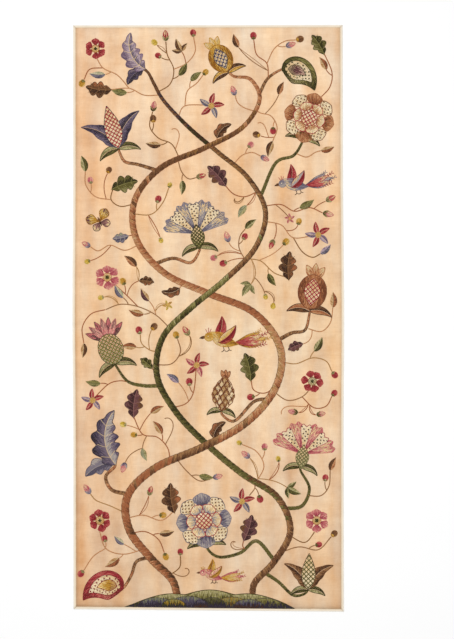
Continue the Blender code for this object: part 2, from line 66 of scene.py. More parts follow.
# Cloth mesh
CLOTH_COLUMNS = 110
CLOTH_ROWS = 240
CLOTH_INSET = 0.0014
EDGE_STEPS = (0.0, 0.0062, 0.0078, 0.0100, 0.0130, 0.0180)
PUCKERS = [
    # waves per metre across, waves per metre up, phase, height
    (3.1, 1.7, 0.4, 0.000110),
    (-5.3, 4.1, 1.9, 0.000070),
    (9.7, 6.3, 3.1, 0.000045),
    (-14.1, 11.9, 0.8, 0.000030),
    (6.1, -17.3, 2.6, 0.000035),
]

# Tape mesh and the seam that holds it
LONG_TAPE_RINGS = 280
SHORT_TAPE_RINGS = 130
CORNER_EASE = 40
LIP_WAVES = (9, 23, 41)
LIP_WAVE_HEIGHT = 0.00016
LIP_EDGE = 0.0089
SEAM_INSET = 0.0074
SEAM_DIP = 0.0003
SEAM_POINTS = 900
SEAM_START = 0.001
SEAM_END = 0.003
SEAM_PITCH = 0.0036
SEAM_STITCH = 0.0023
THREAD_WIDTH = 0.0007

# Wool strands: pitch, stitch, laid stitch and overlap in millimetres
STRAND_WIDTH = 0.00185
STRAND_HEIGHT = 0.0008
STRAND_PITCH = 1.55
STITCH = 10.5
LAID = 24
OVERLAP = 1.6
LAYER_RISE = 0.0005
SUNK = 0.0002
PLY = 0.0021

# Wool work in the frame
MILLIMETRE = 0.001
CROSSING_REACH = 0.08
FINE_SPACING = 0.002
COVER_MARGIN = 0.15
STEM_BLOCK = 0.020
STALK_BLOCK = 0.016
STEM_STITCH = 11
STEM_EDGE_WIDTH = 0.0011
STEM_LIFT = 0.0002
GROWTH_LIFT = 0.0003
ROOT_REACH = 0.035
TENDRIL_WIDTH = 0.0020
SHOOT_WIDTH = 0.0018
SHOOT_TURN = 62
SHOOT_LENGTH = 0.026
SHOOT_STEPS = 9
TWIN_SHADE = 0.86

# Wool colours, as sRGB: dark, middle and light. A tone is a wool's name, with - for dark and + for light
WOOLS = {
    "rust": ((132, 76, 46), (178, 111, 70), (208, 152, 106)),
    "brown": ((80, 50, 30), (124, 82, 50), (166, 120, 78)),
    "tan": ((152, 106, 58), (190, 144, 90), (220, 186, 138)),
    "moss": ((68, 62, 26), (110, 101, 50), (156, 146, 86)),
    "sage": ((112, 106, 62), (156, 146, 94), (198, 186, 136)),
    "mint": ((142, 140, 106), (180, 176, 138), (214, 202, 168)),
    "navy": ((60, 50, 62), (90, 78, 98), (130, 114, 128)),
    "slate": ((98, 90, 106), (144, 134, 144), (190, 178, 170)),
    "lilac": ((120, 98, 120), (156, 132, 148), (196, 174, 180)),
    "crimson": ((138, 40, 42), (176, 60, 64), (206, 106, 98)),
    "rose": ((176, 76, 88), (208, 118, 118), (232, 172, 154)),
    "plum": ((80, 48, 48), (122, 78, 76), (166, 118, 108)),
    "gold": ((162, 106, 34), (208, 156, 58), (228, 192, 114)),
    "yellow": ((174, 136, 42), (216, 182, 72), (234, 210, 128)),
    "cream": ((208, 170, 120), (236, 206, 158), (248, 228, 192)),
}

# The layout's tables are in millimetres. Stems, from the mound up: x, y and width along their middle line
STEMS = {
    "trunk": [
        (-105, -950, 24), (-125, -890, 25), (-195, -820, 26), (-270, -720, 26), (-275, -605, 26),
        (-180, -510, 25), (-20, -440, 25), (130, -355, 25), (230, -235, 24), (245, -100, 24),
        (155, 20, 23), (0, 85, 22), (-150, 155, 21), (-245, 270, 21), (-250, 405, 20),
        (-160, 515, 19), (-15, 580, 17), (115, 650, 15), (175, 745, 13), (145, 815, 11),
        (87, 826, 8), (62, 852, 8),
    ],
    "vine": [
        (150, -950, 20), (160, -900, 21), (225, -830, 21), (280, -725, 21), (235, -610, 21),
        (115, -530, 21), (-5, -430, 20), (-110, -320, 20), (-175, -195, 20), (-155, -65, 19),
        (-60, 35, 19), (55, 130, 18), (160, 240, 17), (195, 365, 16), (135, 480, 15),
        (35, 565, 14), (-65, 650, 13), (-150, 740, 11), (-185, 800, 10), (-205, 838, 8),
        (-228, 857, 8),
    ],
}

# Where one stem passes over the other, as the height of the crossing on the panel
CROSSINGS = [
    # over, under, y
    ("trunk", "vine", -435),
    ("vine", "trunk", 85),
    ("trunk", "vine", 585),
]

# Stalks that carry the large blossoms: the stem that each grows from, then x, y and width along it
BRANCHES = [
    ("vine", [(225, -825, 12), (165, -760, 11), (110, -800, 10), (40, -815, 9),
              (0, -790, 8), (-9, -747, 8)]),
    ("trunk", [(-200, -815, 12), (-245, -830, 10), (-262, -875, 9), (-288, -918, 8), (-304, -916, 8)]),
    ("vine", [(192, -868, 12), (240, -900, 10), (290, -945, 9), (332, -938, 7), (340, -915, 7)]),
    ("trunk", [(-275, -600, 13), (-330, -585, 11), (-350, -540, 10), (-318, -505, 8), (-329, -485, 8)]),
    ("vine", [(260, -650, 12), (320, -640, 11), (345, -580, 9), (315, -520, 7), (317, -498, 7)]),
    ("vine", [(-165, -230, 12), (-220, -230, 11), (-275, -215, 9), (-313, -165, 7), (-321, -143, 7)]),
    ("trunk", [(205, -275, 12), (155, -285, 10), (90, -350, 9), (47, -328, 7), (47, -305, 7)]),
    ("trunk", [(238, -75, 13), (285, -50, 11), (330, -40, 9), (345, 15, 7), (348, 42, 7)]),
    ("trunk", [(-185, 185, 12), (-120, 205, 10), (-60, 190, 9), (-30, 232, 7), (-33, 253, 7)]),
    ("trunk", [(-175, 505, 12), (-240, 525, 10), (-285, 535, 9), (-304, 570, 7), (-310, 591, 7)]),
    ("vine", [(180, 420, 11), (230, 530, 10), (290, 555, 9), (320, 600, 7), (330, 634, 7)]),
    ("trunk", [(172, 760, 10), (200, 815, 9), (240, 845, 7), (265, 852, 7)]),
]

# Motifs, each named by its kind first, with x and y of its foot, or of its middle for birds and round flowers
MOTIFS = [
    # node, x, y, turn in degrees to the left, length, its two wools, and whether it is mirrored
    ("mound", 5, -974, 0, 510, "sage moss"),
    ("peony_blue", -5, -785, 6, 190, "slate crimson"),
    ("paisley_red", -290, -925, 58, 160, "crimson gold", "mirrored"),
    ("tulip_brown", 340, -930, -2, 140, "brown moss"),
    ("acanthus_navy", -315, -500, 44, 205, "navy slate"),
    ("carnation_rose", 315, -515, -8, 172, "rose sage"),
    ("thistle_plum", -315, -160, 18, 180, "plum rose"),
    ("cone_tan", 45, -320, -6, 150, "tan rust"),
    ("pomegranate_gold", 345, 20, -8, 170, "rust crimson"),
    ("carnation_blue", -30, 235, 8, 180, "slate moss"),
    ("tulip_blue", -305, 575, 16, 170, "navy crimson"),
    ("peony_brown", 320, 600, -16, 175, "rust crimson"),
    ("pomegranate_top", 70, 835, 28, 140, "gold navy"),
    ("acanthus_lilac", -215, 850, 64, 148, "lilac navy"),
    ("paisley_green", 250, 848, -75, 150, "moss plum"),
    ("bird_gold", 60, -85, 4, 220, "gold crimson", "mirrored"),
    ("bird_blue", 305, 448, 12, 190, "slate crimson", "mirrored"),
    ("bird_rose", 20, -885, 0, 150, "rose gold", "mirrored"),
    ("butterfly", -370, 330, 25, 100, "gold plum"),
    ("rosette_red_low", -370, -690, 10, 85, "crimson gold"),
    ("rosette_pink_low", 370, -690, 0, 90, "rose gold"),
    ("rosette_red_mid", 355, -215, 20, 85, "crimson sage"),
    ("rosette_pink_mid", -345, 140, 5, 90, "rose gold"),
    ("rosette_red_top", -385, 920, 0, 80, "crimson gold"),
    ("star_low", 115, -625, 10, 95, "crimson slate"),
    ("star_mid", -40, -160, 0, 90, "crimson rose"),
    ("star_left", -395, -280, 15, 85, "crimson lilac"),
    ("star_right", 375, 285, 25, 95, "crimson lilac"),
    ("star_top", 10, 725, 0, 95, "crimson slate"),
    ("oak_low_left", -115, -665, 20, 105, "brown rust"),
    ("oak_low_right", 120, -760, -30, 95, "plum brown", "mirrored"),
    ("oak_mid_left", -255, -340, 5, 100, "plum brown"),
    ("oak_mid_right", 145, -215, 0, 100, "moss sage", "mirrored"),
    ("oak_right", 275, 130, 10, 100, "brown rust"),
    ("oak_upper_left", -330, 440, -60, 95, "moss sage"),
    ("oak_upper_right", 60, 450, 30, 95, "plum brown", "mirrored"),
    ("oak_top_left", -330, 780, 95, 90, "brown rust"),
    ("oak_top_right", 395, 900, 20, 80, "moss sage", "mirrored"),
]

# What grows on tendrils and sprigs: kind, length, and the pairs of wools that it may have
GROWTHS = {
    "leaf": ("leaf", 54, ("moss sage", "moss moss", "sage moss", "brown tan", "brown rust", "rust tan")),
    "pale": ("leaf", 50, ("mint sage", "mint mint", "slate mint")),
    "blue": ("leaf", 52, ("slate lilac", "slate mint")),
    "brown": ("leaf", 54, ("brown tan", "brown rust", "plum tan")),
    "spray": ("spray", 50, ("moss sage", "sage sage", "brown tan")),
    "berry": ("berry", 26, ("crimson sage", "crimson moss", "gold moss", "rose sage", "brown gold")),
    "bud": ("bud", 36, ("rose slate", "crimson sage", "rose moss")),
    "yellow": ("berry", 22, ("yellow sage", "yellow yellow", "yellow moss")),
    "lobed": ("oak", 52, ("moss sage", "brown rust", "plum brown", "moss moss", "slate mint")),
    "pip": ("star", 40, ("rose rose", "yellow gold", "rose lilac", "crimson rose")),
    "hook": ("hook", 75, ("brown rust", "moss brown", "brown moss")),
}

# Tendrils: the side of the first shoot, what grows on each shoot and at the tip, and places along the line
TENDRILS = [
    # side, growths, places
    # foot
    (1, "berry", [(-130, -875), (-98, -850), (-95, -810)]),
    (1, "leaf berry", [(-265, -735), (-215, -728), (-170, -755), (-150, -800)]),
    (1, "berry none", [(-268, -680), (-220, -672), (-160, -690), (-117, -658)]),
    (1, "leaf bud", [(-110, -475), (-75, -520), (-30, -555), (15, -545)]),
    (1, "berry none", [(145, -545), (160, -575), (140, -605)]),
    (1, "none", [(128, -789), (117, -778), (122, -753)]),
    (-1, "none", [(285, -745), (330, -765), (368, -722)]),
    (1, "berry berry", [(250, -800), (310, -780), (375, -790), (420, -745)]),
    (1, "leaf berry none", [(-225, -790), (-290, -805), (-350, -785), (-373, -720)]),
    (1, "bud", [(-290, -665), (-335, -640), (-382, -622), (-402, -600)]),
    (1, "berry", [(-350, -785), (-392, -812), (-425, -860)]),
    # lower right
    (1, "berry leaf", [(338, -605), (385, -605), (412, -572), (416, -520)]),
    (-1, "berry yellow", [(165, -555), (190, -505), (165, -455), (115, -430)]),
    (-1, "none", [(225, -250), (270, -280), (320, -268), (350, -238)]),
    (-1, "berry", [(320, -268), (360, -305), (402, -300), (422, -266)]),
    (1, "leaf berry", [(250, -150), (300, -155), (355, -135), (402, -146), (422, -182)]),
    (1, "leaf", [(340, -35), (386, -45), (417, -14), (425, 36)]),
    # middle
    (1, "berry none", [(-120, -305), (-75, -290), (-50, -250), (-41, -168)]),
    (1, "berry none", [(228, -225), (195, -255), (155, -245), (146, -208)]),
    (1, "berry", [(-170, -160), (-125, -155), (-95, -115), (-105, -70)]),
    (-1, "leaf berry none", [(-130, -485), (-140, -440), (-175, -405), (-225, -395), (-256, -333)]),
    (-1, "leaf none", [(-277, -217), (-300, -213), (-340, -224), (-390, -272)]),
    (1, "leaf berry", [(-165, -115), (-200, -108), (-228, -85), (-232, -55)]),
    (1, "leaf blue none", [(-135, -30), (-180, 12), (-240, 40), (-300, 48), (-350, 30)]),
    (-1, "berry none", [(-240, 40), (-280, 80), (-330, 124)]),
    (1, "leaf", [(-350, 30), (-400, 15), (-430, -30), (-425, -85)]),
    # upper middle
    (-1, "berry leaf", [(125, 200), (105, 240), (108, 280), (126, 305)]),
    (1, "berry yellow", [(-250, 355), (-195, 355), (-155, 395), (-135, 445)]),
    (-1, "leaf bud", [(-105, 545), (-92, 502), (-68, 476), (-42, 480)]),
    (1, "none", [(170, 435), (125, 415), (85, 425), (56, 456)]),
    (1, "bud", [(-240, 250), (-285, 232), (-335, 250), (-375, 230), (-402, 244)]),
    (1, "none", [(-258, 390), (-300, 382), (-332, 405), (-325, 444)]),
    (-1, "berry leaf", [(-332, 405), (-385, 415), (-418, 455), (-420, 500)]),
    (-1, "leaf none", [(130, 205), (180, 195), (225, 155), (276, 138)]),
    (1, "none", [(200, 330), (250, 318), (290, 275), (366, 284)]),
    (1, "blue", [(290, 275), (320, 228), (355, 208), (382, 220)]),
    (1, "leaf bud", [(205, 385), (250, 388), (295, 365), (345, 378), (390, 360)]),
    # top
    (1, "leaf berry bud", [(-100, 550), (-125, 595), (-170, 615), (-200, 655), (-190, 705)]),
    (1, "leaf none", [(-170, 760), (-220, 762), (-270, 785), (-338, 780)]),
    (1, "blue none", [(-270, 785), (-310, 830), (-360, 855), (-385, 898)]),
    (1, "berry", [(-360, 855), (-405, 850), (-424, 815)]),
    (-1, "leaf berry bud", [(-165, 775), (-130, 800), (-118, 850), (-140, 900), (-145, 945)]),
    (1, "berry", [(-118, 850), (-75, 870), (-45, 910), (-50, 960)]),
    (1, "none", [(-100, 690), (-80, 725), (-4, 728)]),
    (1, "leaf berry", [(-80, 725), (-72, 775), (-40, 802), (-18, 830)]),
    (-1, "bud", [(155, 710), (124, 718), (100, 736), (92, 760)]),
    (1, "berry", [(205, 820), (200, 870), (165, 900), (155, 950)]),
    (-1, "bud berry", [(200, 870), (225, 920), (262, 946), (298, 950)]),
    (-1, "berry leaf", [(180, 700), (215, 690), (235, 650), (220, 605)]),
    (1, "leaf none", [(385, 755), (415, 790), (422, 840), (394, 907)]),
    (-1, "leaf", [(300, 562), (336, 550), (364, 566), (384, 572)]),
    (1, "berry bud", [(90, 530), (115, 556), (150, 566), (178, 554)]),
    # hooks on the stems
    (1, "hook", [(20, -425), (18, -408)]),
    (1, "hook", [(-85, 122), (-98, 103)]),
    (1, "lobed", [(-172, -186), (-191, -172)]),
    (1, "lobed", [(-252, 284), (-272, 282)]),
    (1, "hook", [(30, 600), (30, 615)]),
]

# Tones along the stems, from the mound up: dark edge to light edge of each stretch
STEM_TONES = {
    "trunk_1": ["brown- brown rust rust+", "rust- rust rust rust+", "brown- brown brown+ tan",
                "rust- rust rust+ tan+", "rust rust+ tan tan+", "rust- rust rust rust+"],
    "trunk_2": ["rust rust rust+ tan+", "brown rust rust+ tan", "brown- brown brown brown+",
                "brown- brown tan- tan", "brown rust rust+ tan+"],
    "vine_1": ["brown- brown brown rust+", "brown- brown brown+ tan", "brown- brown moss moss+",
               "moss- moss moss moss+"],
    "vine_2": ["moss- moss- moss moss", "brown- moss- moss moss+", "moss- moss moss+ sage+",
               "brown- brown brown+ tan", "brown- brown tan- tan"],
    "vine_3": ["brown- brown- moss- brown", "brown- navy- brown brown+", "brown- brown brown tan-"],
}
STALK_TONES = {
    "trunk": ["brown- brown brown+ tan", "rust- rust rust+ tan"],
    "vine": ["moss- moss moss moss+", "brown- moss- moss moss+"],
}

HILLOCKS = [
    # middle, half its width, share of the mound's height, tones from its foot to its crest
    (-0.26, 0.25, 1.00, "navy- moss- moss sage sage+"),
    (0.26, 0.25, 1.00, "navy- moss- moss+ sage sage+"),
    (0.00, 0.19, 1.00, "navy- moss- moss moss+ sage+"),
    (-0.36, 0.12, 0.80, "navy- navy- slate- mint-"),
    (0.37, 0.12, 0.74, "navy- navy- moss moss+"),
    (-0.14, 0.13, 0.74, "navy- navy- navy slate- mint-"),
    (0.15, 0.12, 0.70, "navy- brown- sage- yellow- sage"),
    (-0.24, 0.08, 0.48, "navy- moss- yellow- moss+"),
    (0.26, 0.10, 0.46, "brown- navy- slate- mint-"),
    (0.02, 0.09, 0.46, "navy- navy- moss- sage-"),
    (-0.06, 0.05, 0.30, "brown- navy- slate-"),
]

BIRD_PLUMES = [
    # degrees turned left, length, bend
    (74, 0.44, 10),
    (88, 0.54, 22),
    (103, 0.57, 34),
    (118, 0.49, 44),
]
BIRD_LEGS = [[(0.05, -0.03), (0.03, -0.11), (0.08, -0.13)], [(-0.02, -0.03), (-0.05, -0.11), (0.00, -0.13)],
             [(0.03, -0.11), (0.00, -0.13)], [(-0.05, -0.11), (-0.08, -0.12)]]
BIRD_CREST = [[(0.25, 0.17), (0.21, 0.24)], [(0.26, 0.17), (0.25, 0.26)], [(0.27, 0.17), (0.30, 0.24)]]


def metres(millimetres):
    return np.array(millimetres) / 1000


# Outlines: arrays of x and y, running counter-clockwise


def blade(length, width, peak, points, lobes=0, depth=0.0, sweep=1.0):
    """A leaf or petal that grows from the origin along +Y, widest at peak; its edge may be cut into lobes."""
    t = np.linspace(0, 1, points + 1)[1:-1]
    half = width / 2 * np.sin(math.pi * t ** (math.log(0.5) / math.log(peak)))
    if lobes:
        along = (lobes * t) % 1.0
        half = half * (1 - depth * (1 - np.sin(math.pi * along ** sweep) ** 0.8))
    right = np.column_stack([half, t * length])
    return np.vstack([[(0, 0)], right, [(0, length)], (right * (-1, 1))[::-1]])


def disc(radius, points=12, stretch=1.0):
    """A circle about the origin, or an oval stretched along Y."""
    angle = np.arange(points) * 2 * math.pi / points
    return np.column_stack([radius * np.cos(angle), radius * stretch * np.sin(angle)])


def fan_petal(inner, outer, spread):
    """A petal between two radii about the origin, spread degrees wide, its outer edge cut into two teeth."""
    angle = np.radians(np.linspace(spread / 2, -spread / 2, 5))
    radius = outer * np.array((0.9, 1, 0.9, 1, 0.9))
    edge = np.column_stack([-radius * np.sin(angle), radius * np.cos(angle)])
    ends = angle[[-1, 0]]
    foot = np.column_stack([-inner * np.sin(ends), inner * np.cos(ends)])
    return np.vstack([edge, foot])[::-1]


def bent(shape, length, bend):
    """Bends the +Y axis into an arc that turns bend degrees to the right over the length."""
    angle = math.radians(bend) * shape[:, 1] / length
    radius = length / math.radians(bend)
    x = radius * (1 - np.cos(angle)) + shape[:, 0] * np.cos(angle)
    y = radius * np.sin(angle) - shape[:, 0] * np.sin(angle)
    return np.column_stack([x, y])


def moved(shape, x=0.0, y=0.0, turn=0.0, scale=1.0, mirrored=False):
    """Mirrors and scales points about the origin, turns them turn degrees to the left, then moves them."""
    c, s = math.cos(math.radians(turn)), math.sin(math.radians(turn))
    shape = np.asarray(shape, float) * (-scale if mirrored else scale, scale)
    return np.column_stack([shape[:, 0] * c - shape[:, 1] * s + x, shape[:, 0] * s + shape[:, 1] * c + y])


def shrunk(shape, distance):
    """The outline moved inward by a small distance."""
    along = np.roll(shape, -1, axis=0) - np.roll(shape, 1, axis=0)
    along /= np.linalg.norm(along, axis=1)[:, None] + 1e-12
    return shape + distance * np.column_stack([-along[:, 1], along[:, 0]])


def inside(points, shape):
    """Which of the points lie inside an outline."""
    x, y = points[:, 0, None], points[:, 1, None]
    start, end = shape, np.roll(shape, -1, axis=0)
    rises = (start[:, 1] > y) != (end[:, 1] > y)
    slope = (end[:, 0] - start[:, 0]) / np.where(end[:, 1] == start[:, 1], 1, end[:, 1] - start[:, 1])
    return (rises & (start[:, 0] + (y - start[:, 1]) * slope > x)).sum(axis=1) % 2 == 1


# Paths: arrays of x, y and often width


def smooth_path(rows, spacing):
    """A Catmull-Rom curve through the rows, with about one point each spacing."""
    rows = np.vstack([2 * rows[0] - rows[1], rows, 2 * rows[-1] - rows[-2]])
    pieces = []
    for a, b, c, d in zip(rows[:-3], rows[1:-2], rows[2:-1], rows[3:]):
        count = max(1, round(math.dist(b[:2], c[:2]) / spacing))
        t = (np.arange(count) / count)[:, None]
        curve = 2 * b + (c - a) * t + (2 * a - 5 * b + 4 * c - d) * t ** 2 + (3 * b - a - 3 * c + d) * t ** 3
        pieces.append(curve / 2)
    return np.vstack(pieces + [rows[-2:-1]])


def distances(path):
    """How far along a path each of its points lies."""
    return np.concatenate([[0], np.cumsum(np.linalg.norm(np.diff(path[:, :2], axis=0), axis=1))])


def between(places, along, values):
    """Pairs of values at places along a path."""
    return np.column_stack([np.interp(places, along, values[:, i]) for i in (0, 1)])


def asides(path):
    """The unit direction to the left of a path, at each of its points."""
    along = np.gradient(path[:, :2], axis=0)
    along /= np.linalg.norm(along, axis=1)[:, None]
    return np.column_stack([-along[:, 1], along[:, 0]])


def heading_at(path, at):
    """The direction of a path at one of its points, in radians."""
    step = path[min(at + 1, len(path) - 1)] - path[max(at - 1, 0)]
    return math.atan2(step[1], step[0])


def ribbon(path):
    """The outline of a stem that follows a path."""
    offset = asides(path) * path[:, 2:] / 2
    return np.vstack([path[:, :2] - offset, (path[:, :2] + offset)[::-1]])


def follow(points, path):
    """Carries points given as distance along a path and distance to its left."""
    along = distances(path)
    return between(points[:, 0], along, path) + points[:, 1:] * between(points[:, 0], along, asides(path))


def stretches(path, over_path, heights):
    """Cuts a path where another stem passes over it; also gives the outlines that cover it there."""
    covers = [over_path[np.abs(over_path[:, 1] - height) < CROSSING_REACH] for height in heights]
    places = []
    for height, cover in zip(heights, covers):
        far = np.linalg.norm(path[:, None, :2] - cover[None, :, :2], axis=2).min(axis=1)
        places.append(int(np.argmin(far + (np.abs(path[:, 1] - height) > CROSSING_REACH))))
    ends = [0] + places + [len(path) - 1]
    pieces = [path[first:last + 1] for first, last in zip(ends[:-1], ends[1:])]
    return pieces, [ribbon(cover) for cover in covers]


# Stitches: rows of both ends, width, lift above the cloth and linear colour; a row of no length is a knot.
# Each kind of stitch is worked on an outline, a path or places, in units of which mm make up a millimetre.

START = slice(0, 2)
END = slice(2, 4)
WIDTH = 4
LIFT = 5
COLOUR = slice(6, 9)


def linear(srgb):
    c = np.asarray(srgb) / 255
    return np.where(c <= 0.04045, c / 12.92, ((c + 0.055) / 1.055) ** 2.4)


TONES = {wool + mark: linear(shade)
         for wool, shades in WOOLS.items() for mark, shade in zip(("-", "", "+"), shades)}


def dyed(tones, level, blur=0.0):
    """Colours at levels from 0 to 1 through a run of tones; blur mixes the strands where two tones meet."""
    tones = tones.split()
    level = level + RNG.normal(0, 1, level.shape) * blur
    index = np.clip((level * len(tones)).astype(int), 0, len(tones) - 1)
    colours = np.array([TONES[tone] for tone in tones])[index]
    return colours * np.clip(RNG.normal(1, 0.07, (len(level), 1)), 0.8, 1.2)


def dyed_apart(families, family, level, blur=0.0):
    """The same where each stitch has its own family of tones."""
    colours = np.empty((len(level), 3))
    for k, tones in enumerate(families):
        mine = family == k
        colours[mine] = dyed(tones, level[mine], blur)
    return colours


def stitched(ends, colours, lift=0.0, width=STRAND_WIDTH):
    """Rows of stitches, from both ends of each and its colour."""
    sizes = np.broadcast_to((width, lift), (len(ends), 2))
    return np.column_stack([ends, sizes, np.broadcast_to(colours, (len(ends), 3))])


def plain(ends, tone, lift, width):
    """Stitches of one tone."""
    return stitched(ends, dyed(tone, np.zeros(len(ends))), lift, width)


def middles(rows):
    return (rows[:, START] + rows[:, END]) / 2


def runs(shape, angle, pitch):
    """Straight runs across a shape, pitch apart, at an angle in degrees to +X."""
    c, s = math.cos(math.radians(angle)), math.sin(math.radians(angle))
    turn = np.array([[c, -s], [s, c]])
    start = shape @ turn
    end = np.roll(start, -1, axis=0)
    first = math.ceil(start[:, 1].min() / pitch - 0.5)
    last = math.floor(start[:, 1].max() / pitch - 0.5)
    found = []
    for height in (np.arange(first, last + 1) + 0.5) * pitch:
        rises = (start[:, 1] > height) != (end[:, 1] > height)
        share = (height - start[rises, 1]) / (end[rises, 1] - start[rises, 1])
        x = np.sort(start[rises, 0] + share * (end[rises, 0] - start[rises, 0]))
        found += [(a, height, b, height) for a, b in zip(x[::2], x[1::2])]
    return (np.array(found).reshape(-1, 2) @ turn.T).reshape(-1, 4)


def filled(shape, mm, angle, length=STITCH):
    """Runs across a shape, cut into stitches laid like bricks, each running a little into the next."""
    length, overlap = length * mm, OVERLAP * mm
    pieces = [np.empty((0, 4))]
    for k, run in enumerate(runs(shape, angle, STRAND_PITCH * mm)):
        whole = math.dist(run[:2], run[2:])
        if whole < overlap / 2:
            continue
        phase = length * (0.35 + 0.5 * (k % 2) + 0.15 * RNG.random())
        stops = np.concatenate([[0], np.arange(phase, whole - 0.3 * length, length), [whole]]) / whole
        start = np.maximum(stops[:-1] - overlap / 2 / whole, 0)[:, None]
        stop = np.minimum(stops[1:] + overlap / 2 / whole, 1)[:, None]
        pieces.append(np.hstack([run[:2] + (run[2:] - run[:2]) * share for share in (start, stop)]))
    return np.vstack(pieces)


def satin(shape, mm, tones, angle=90, along=(0, 1), blur=0.13, length=STITCH):
    """Long-and-short stitches over a shape; its tones follow one another in the direction along."""
    ends = filled(shape, mm, angle, length)
    reach = shape @ along
    level = (middles(ends) @ along - reach.min()) / (reach.max() - reach.min())
    return stitched(ends, dyed(tones, level, blur))


def fishbone(shape, mm, left, right, slant=42):
    """Slanting stitches on both sides of a leaf's middle line; the tones run from the middle to the edge."""
    rows = []
    for side, tones in ((1, right), (-1, left)):
        half = np.column_stack([np.maximum(shape[:, 0] * side, 0) * side, shape[:, 1]])
        ends = filled(half, mm, side * slant)
        level = np.abs(middles(ends)[:, 0]) / np.abs(shape[:, 0]).max()
        rows.append(stitched(ends, dyed(tones, level, 0.12)))
    return np.vstack(rows)


def line(path, mm, tone, width=0.0015, lift=0.0004, step=3.8, lean=0.35):
    """Stem stitch along a path: each stitch starts beside the middle of the last and leans across it."""
    along = distances(path)
    start = np.arange(0, along[-1], step * mm)
    stop = np.minimum(start + 1.9 * step * mm, along[-1])
    a, b = between(start, along, path), between(stop, along, path)
    length = np.linalg.norm(b - a, axis=1)[:, None] + 1e-12
    aside = (b - a) @ np.array([[0, 1], [-1, 0]]) / length * lean * mm
    return plain(np.hstack([a - aside, b + aside]), tone, lift, width)


def grid(shape, pitch, shift=0.5):
    """The points of a square grid, turned by half a right angle, that lie inside a shape."""
    count = math.ceil(2 * np.abs(shape).max() / pitch) + 2
    steps = (np.arange(-count, count) + shift) * pitch
    points = moved(np.array(np.meshgrid(steps, steps)).reshape(2, -1).T, turn=45)
    return points[inside(points, shape)]


def knots(places, mm, tone, width=0.0026, lift=0.0006, pitch=0):
    """Knots at places, or inside an outline where a pitch is given."""
    if pitch:
        places = grid(places, pitch * mm)
    return plain(np.hstack([places, places]), tone, lift, width)


def spots(shape, mm, tone, pitch=11.0, size=1.2):
    """Spots of three short stitches side by side, in staggered rows."""
    at = grid(shrunk(shape, 2.8 * mm), pitch * mm, 0.0)
    rows = []
    for aside, reach in ((-1.5, 1.6), (0, 2.5), (1.5, 1.6)):
        middle, half = at + (aside * size * mm, 0), (0, reach * size * mm)
        rows.append(plain(np.hstack([middle - half, middle + half]), tone, 0.0006, 0.0020 * size))
    return np.vstack(rows)


def dotted(shape, mm, ground, dot):
    """A filled ground with spots in staggered rows."""
    return np.vstack([satin(shape, mm, ground, blur=0.2, length=LAID), spots(shape, mm, dot)])


def lattice(shape, mm, ground, thread, tie, pitch=11.0, dot=None):
    """A filled ground under pairs of laid threads that cross and are tied down, with dots in the openings."""
    rows = [satin(shape, mm, ground, blur=0.2, length=LAID)]
    for turn in (45, 135):
        for side in (-0.8, 0.8):
            aside = side * mm * np.array([-math.sin(math.radians(turn)), math.cos(math.radians(turn))])
            laid = runs(shape - aside, turn, pitch * mm) + np.tile(aside, 2)
            rows.append(plain(laid, thread, 0.0005, 0.0019))
    at, half = grid(shape, pitch * mm), (1.9 * mm, 0)
    rows.append(plain(np.hstack([at - half, at + half]), tie, 0.0012, 0.0018))
    if dot:
        rows.append(spots(shape, mm, dot, pitch, 0.8))
    return np.vstack(rows)


def scales(shape, mm, width, height, *families):
    """Upright stitches whose colours make rows of overlapping scales, each darker at its edge."""
    ends = filled(shape, mm, 90, 6)
    x, y = middles(ends).T / np.array([[width], [height]])
    row = np.floor(y)
    column = np.floor(x + 0.5 * (row % 2))
    reach = np.hypot((x + 0.5 * (row % 2) - column - 0.5) * 2, y - row)
    above = reach > 1
    row = row + above
    column = np.floor(x + 0.5 * (row % 2))
    reach = np.where(above, 0.35, reach)
    family = (row * 2 + column * 3).astype(int) % len(families)
    band = np.clip((reach + RNG.normal(0, 0.05, len(reach))) * 3, 0, 2.99).astype(int)
    return stitched(ends, dyed_apart(families, family, (band + 0.5) / 3))


def placed(rows, *steps, lift=0.0):
    """Carries stitches through steps such as (bent, length, bend) or (follow, path), then lifts them."""
    rows = rows.copy()
    for step, *values in steps:
        for end in (START, END):
            rows[:, end] = step(rows[:, end], *values)
    rows[:, LIFT] += lift
    return rows


def stacked(patches):
    """The stitches of a motif's patches, without those that a higher patch covers."""
    patches = sorted(patches, key=lambda each: each[1])
    kept = []
    for k, (_, layer, rows) in enumerate(patches):
        covered = np.zeros(len(rows), bool)
        for above, _, _ in patches[k + 1:]:
            covered |= inside(rows[:, START], above) & inside(rows[:, END], above)
        kept.append(placed(rows[~covered], lift=layer * LAYER_RISE + k * 0.00001))
    return np.vstack(kept)


def near(rows, shapes):
    """The outlines whose box comes close to the stitches' box."""
    ends = rows[:, :4].reshape(-1, 2)
    low, high = ends.min(axis=0) - COVER_MARGIN, ends.max(axis=0) + COVER_MARGIN
    return [shape for shape in shapes if (shape.min(axis=0) < high).all() and (shape.max(axis=0) > low).all()]


def trimmed(rows, covers):
    """Stitches cut back to where they pass under the outlines."""
    for cover in covers:
        rows = rows[~(inside(rows[:, START], cover) & inside(rows[:, END], cover))]
        for end, other in ((START, END), (END, START)):
            hidden = inside(rows[:, end], cover)
            under, clear = rows[hidden, end], rows[hidden, other]
            for _ in range(7):
                halfway = (under + clear) / 2
                below = inside(halfway, cover)[:, None]
                under, clear = np.where(below, halfway, under), np.where(below, clear, halfway)
            rows[hidden, end] = clear
    return rows


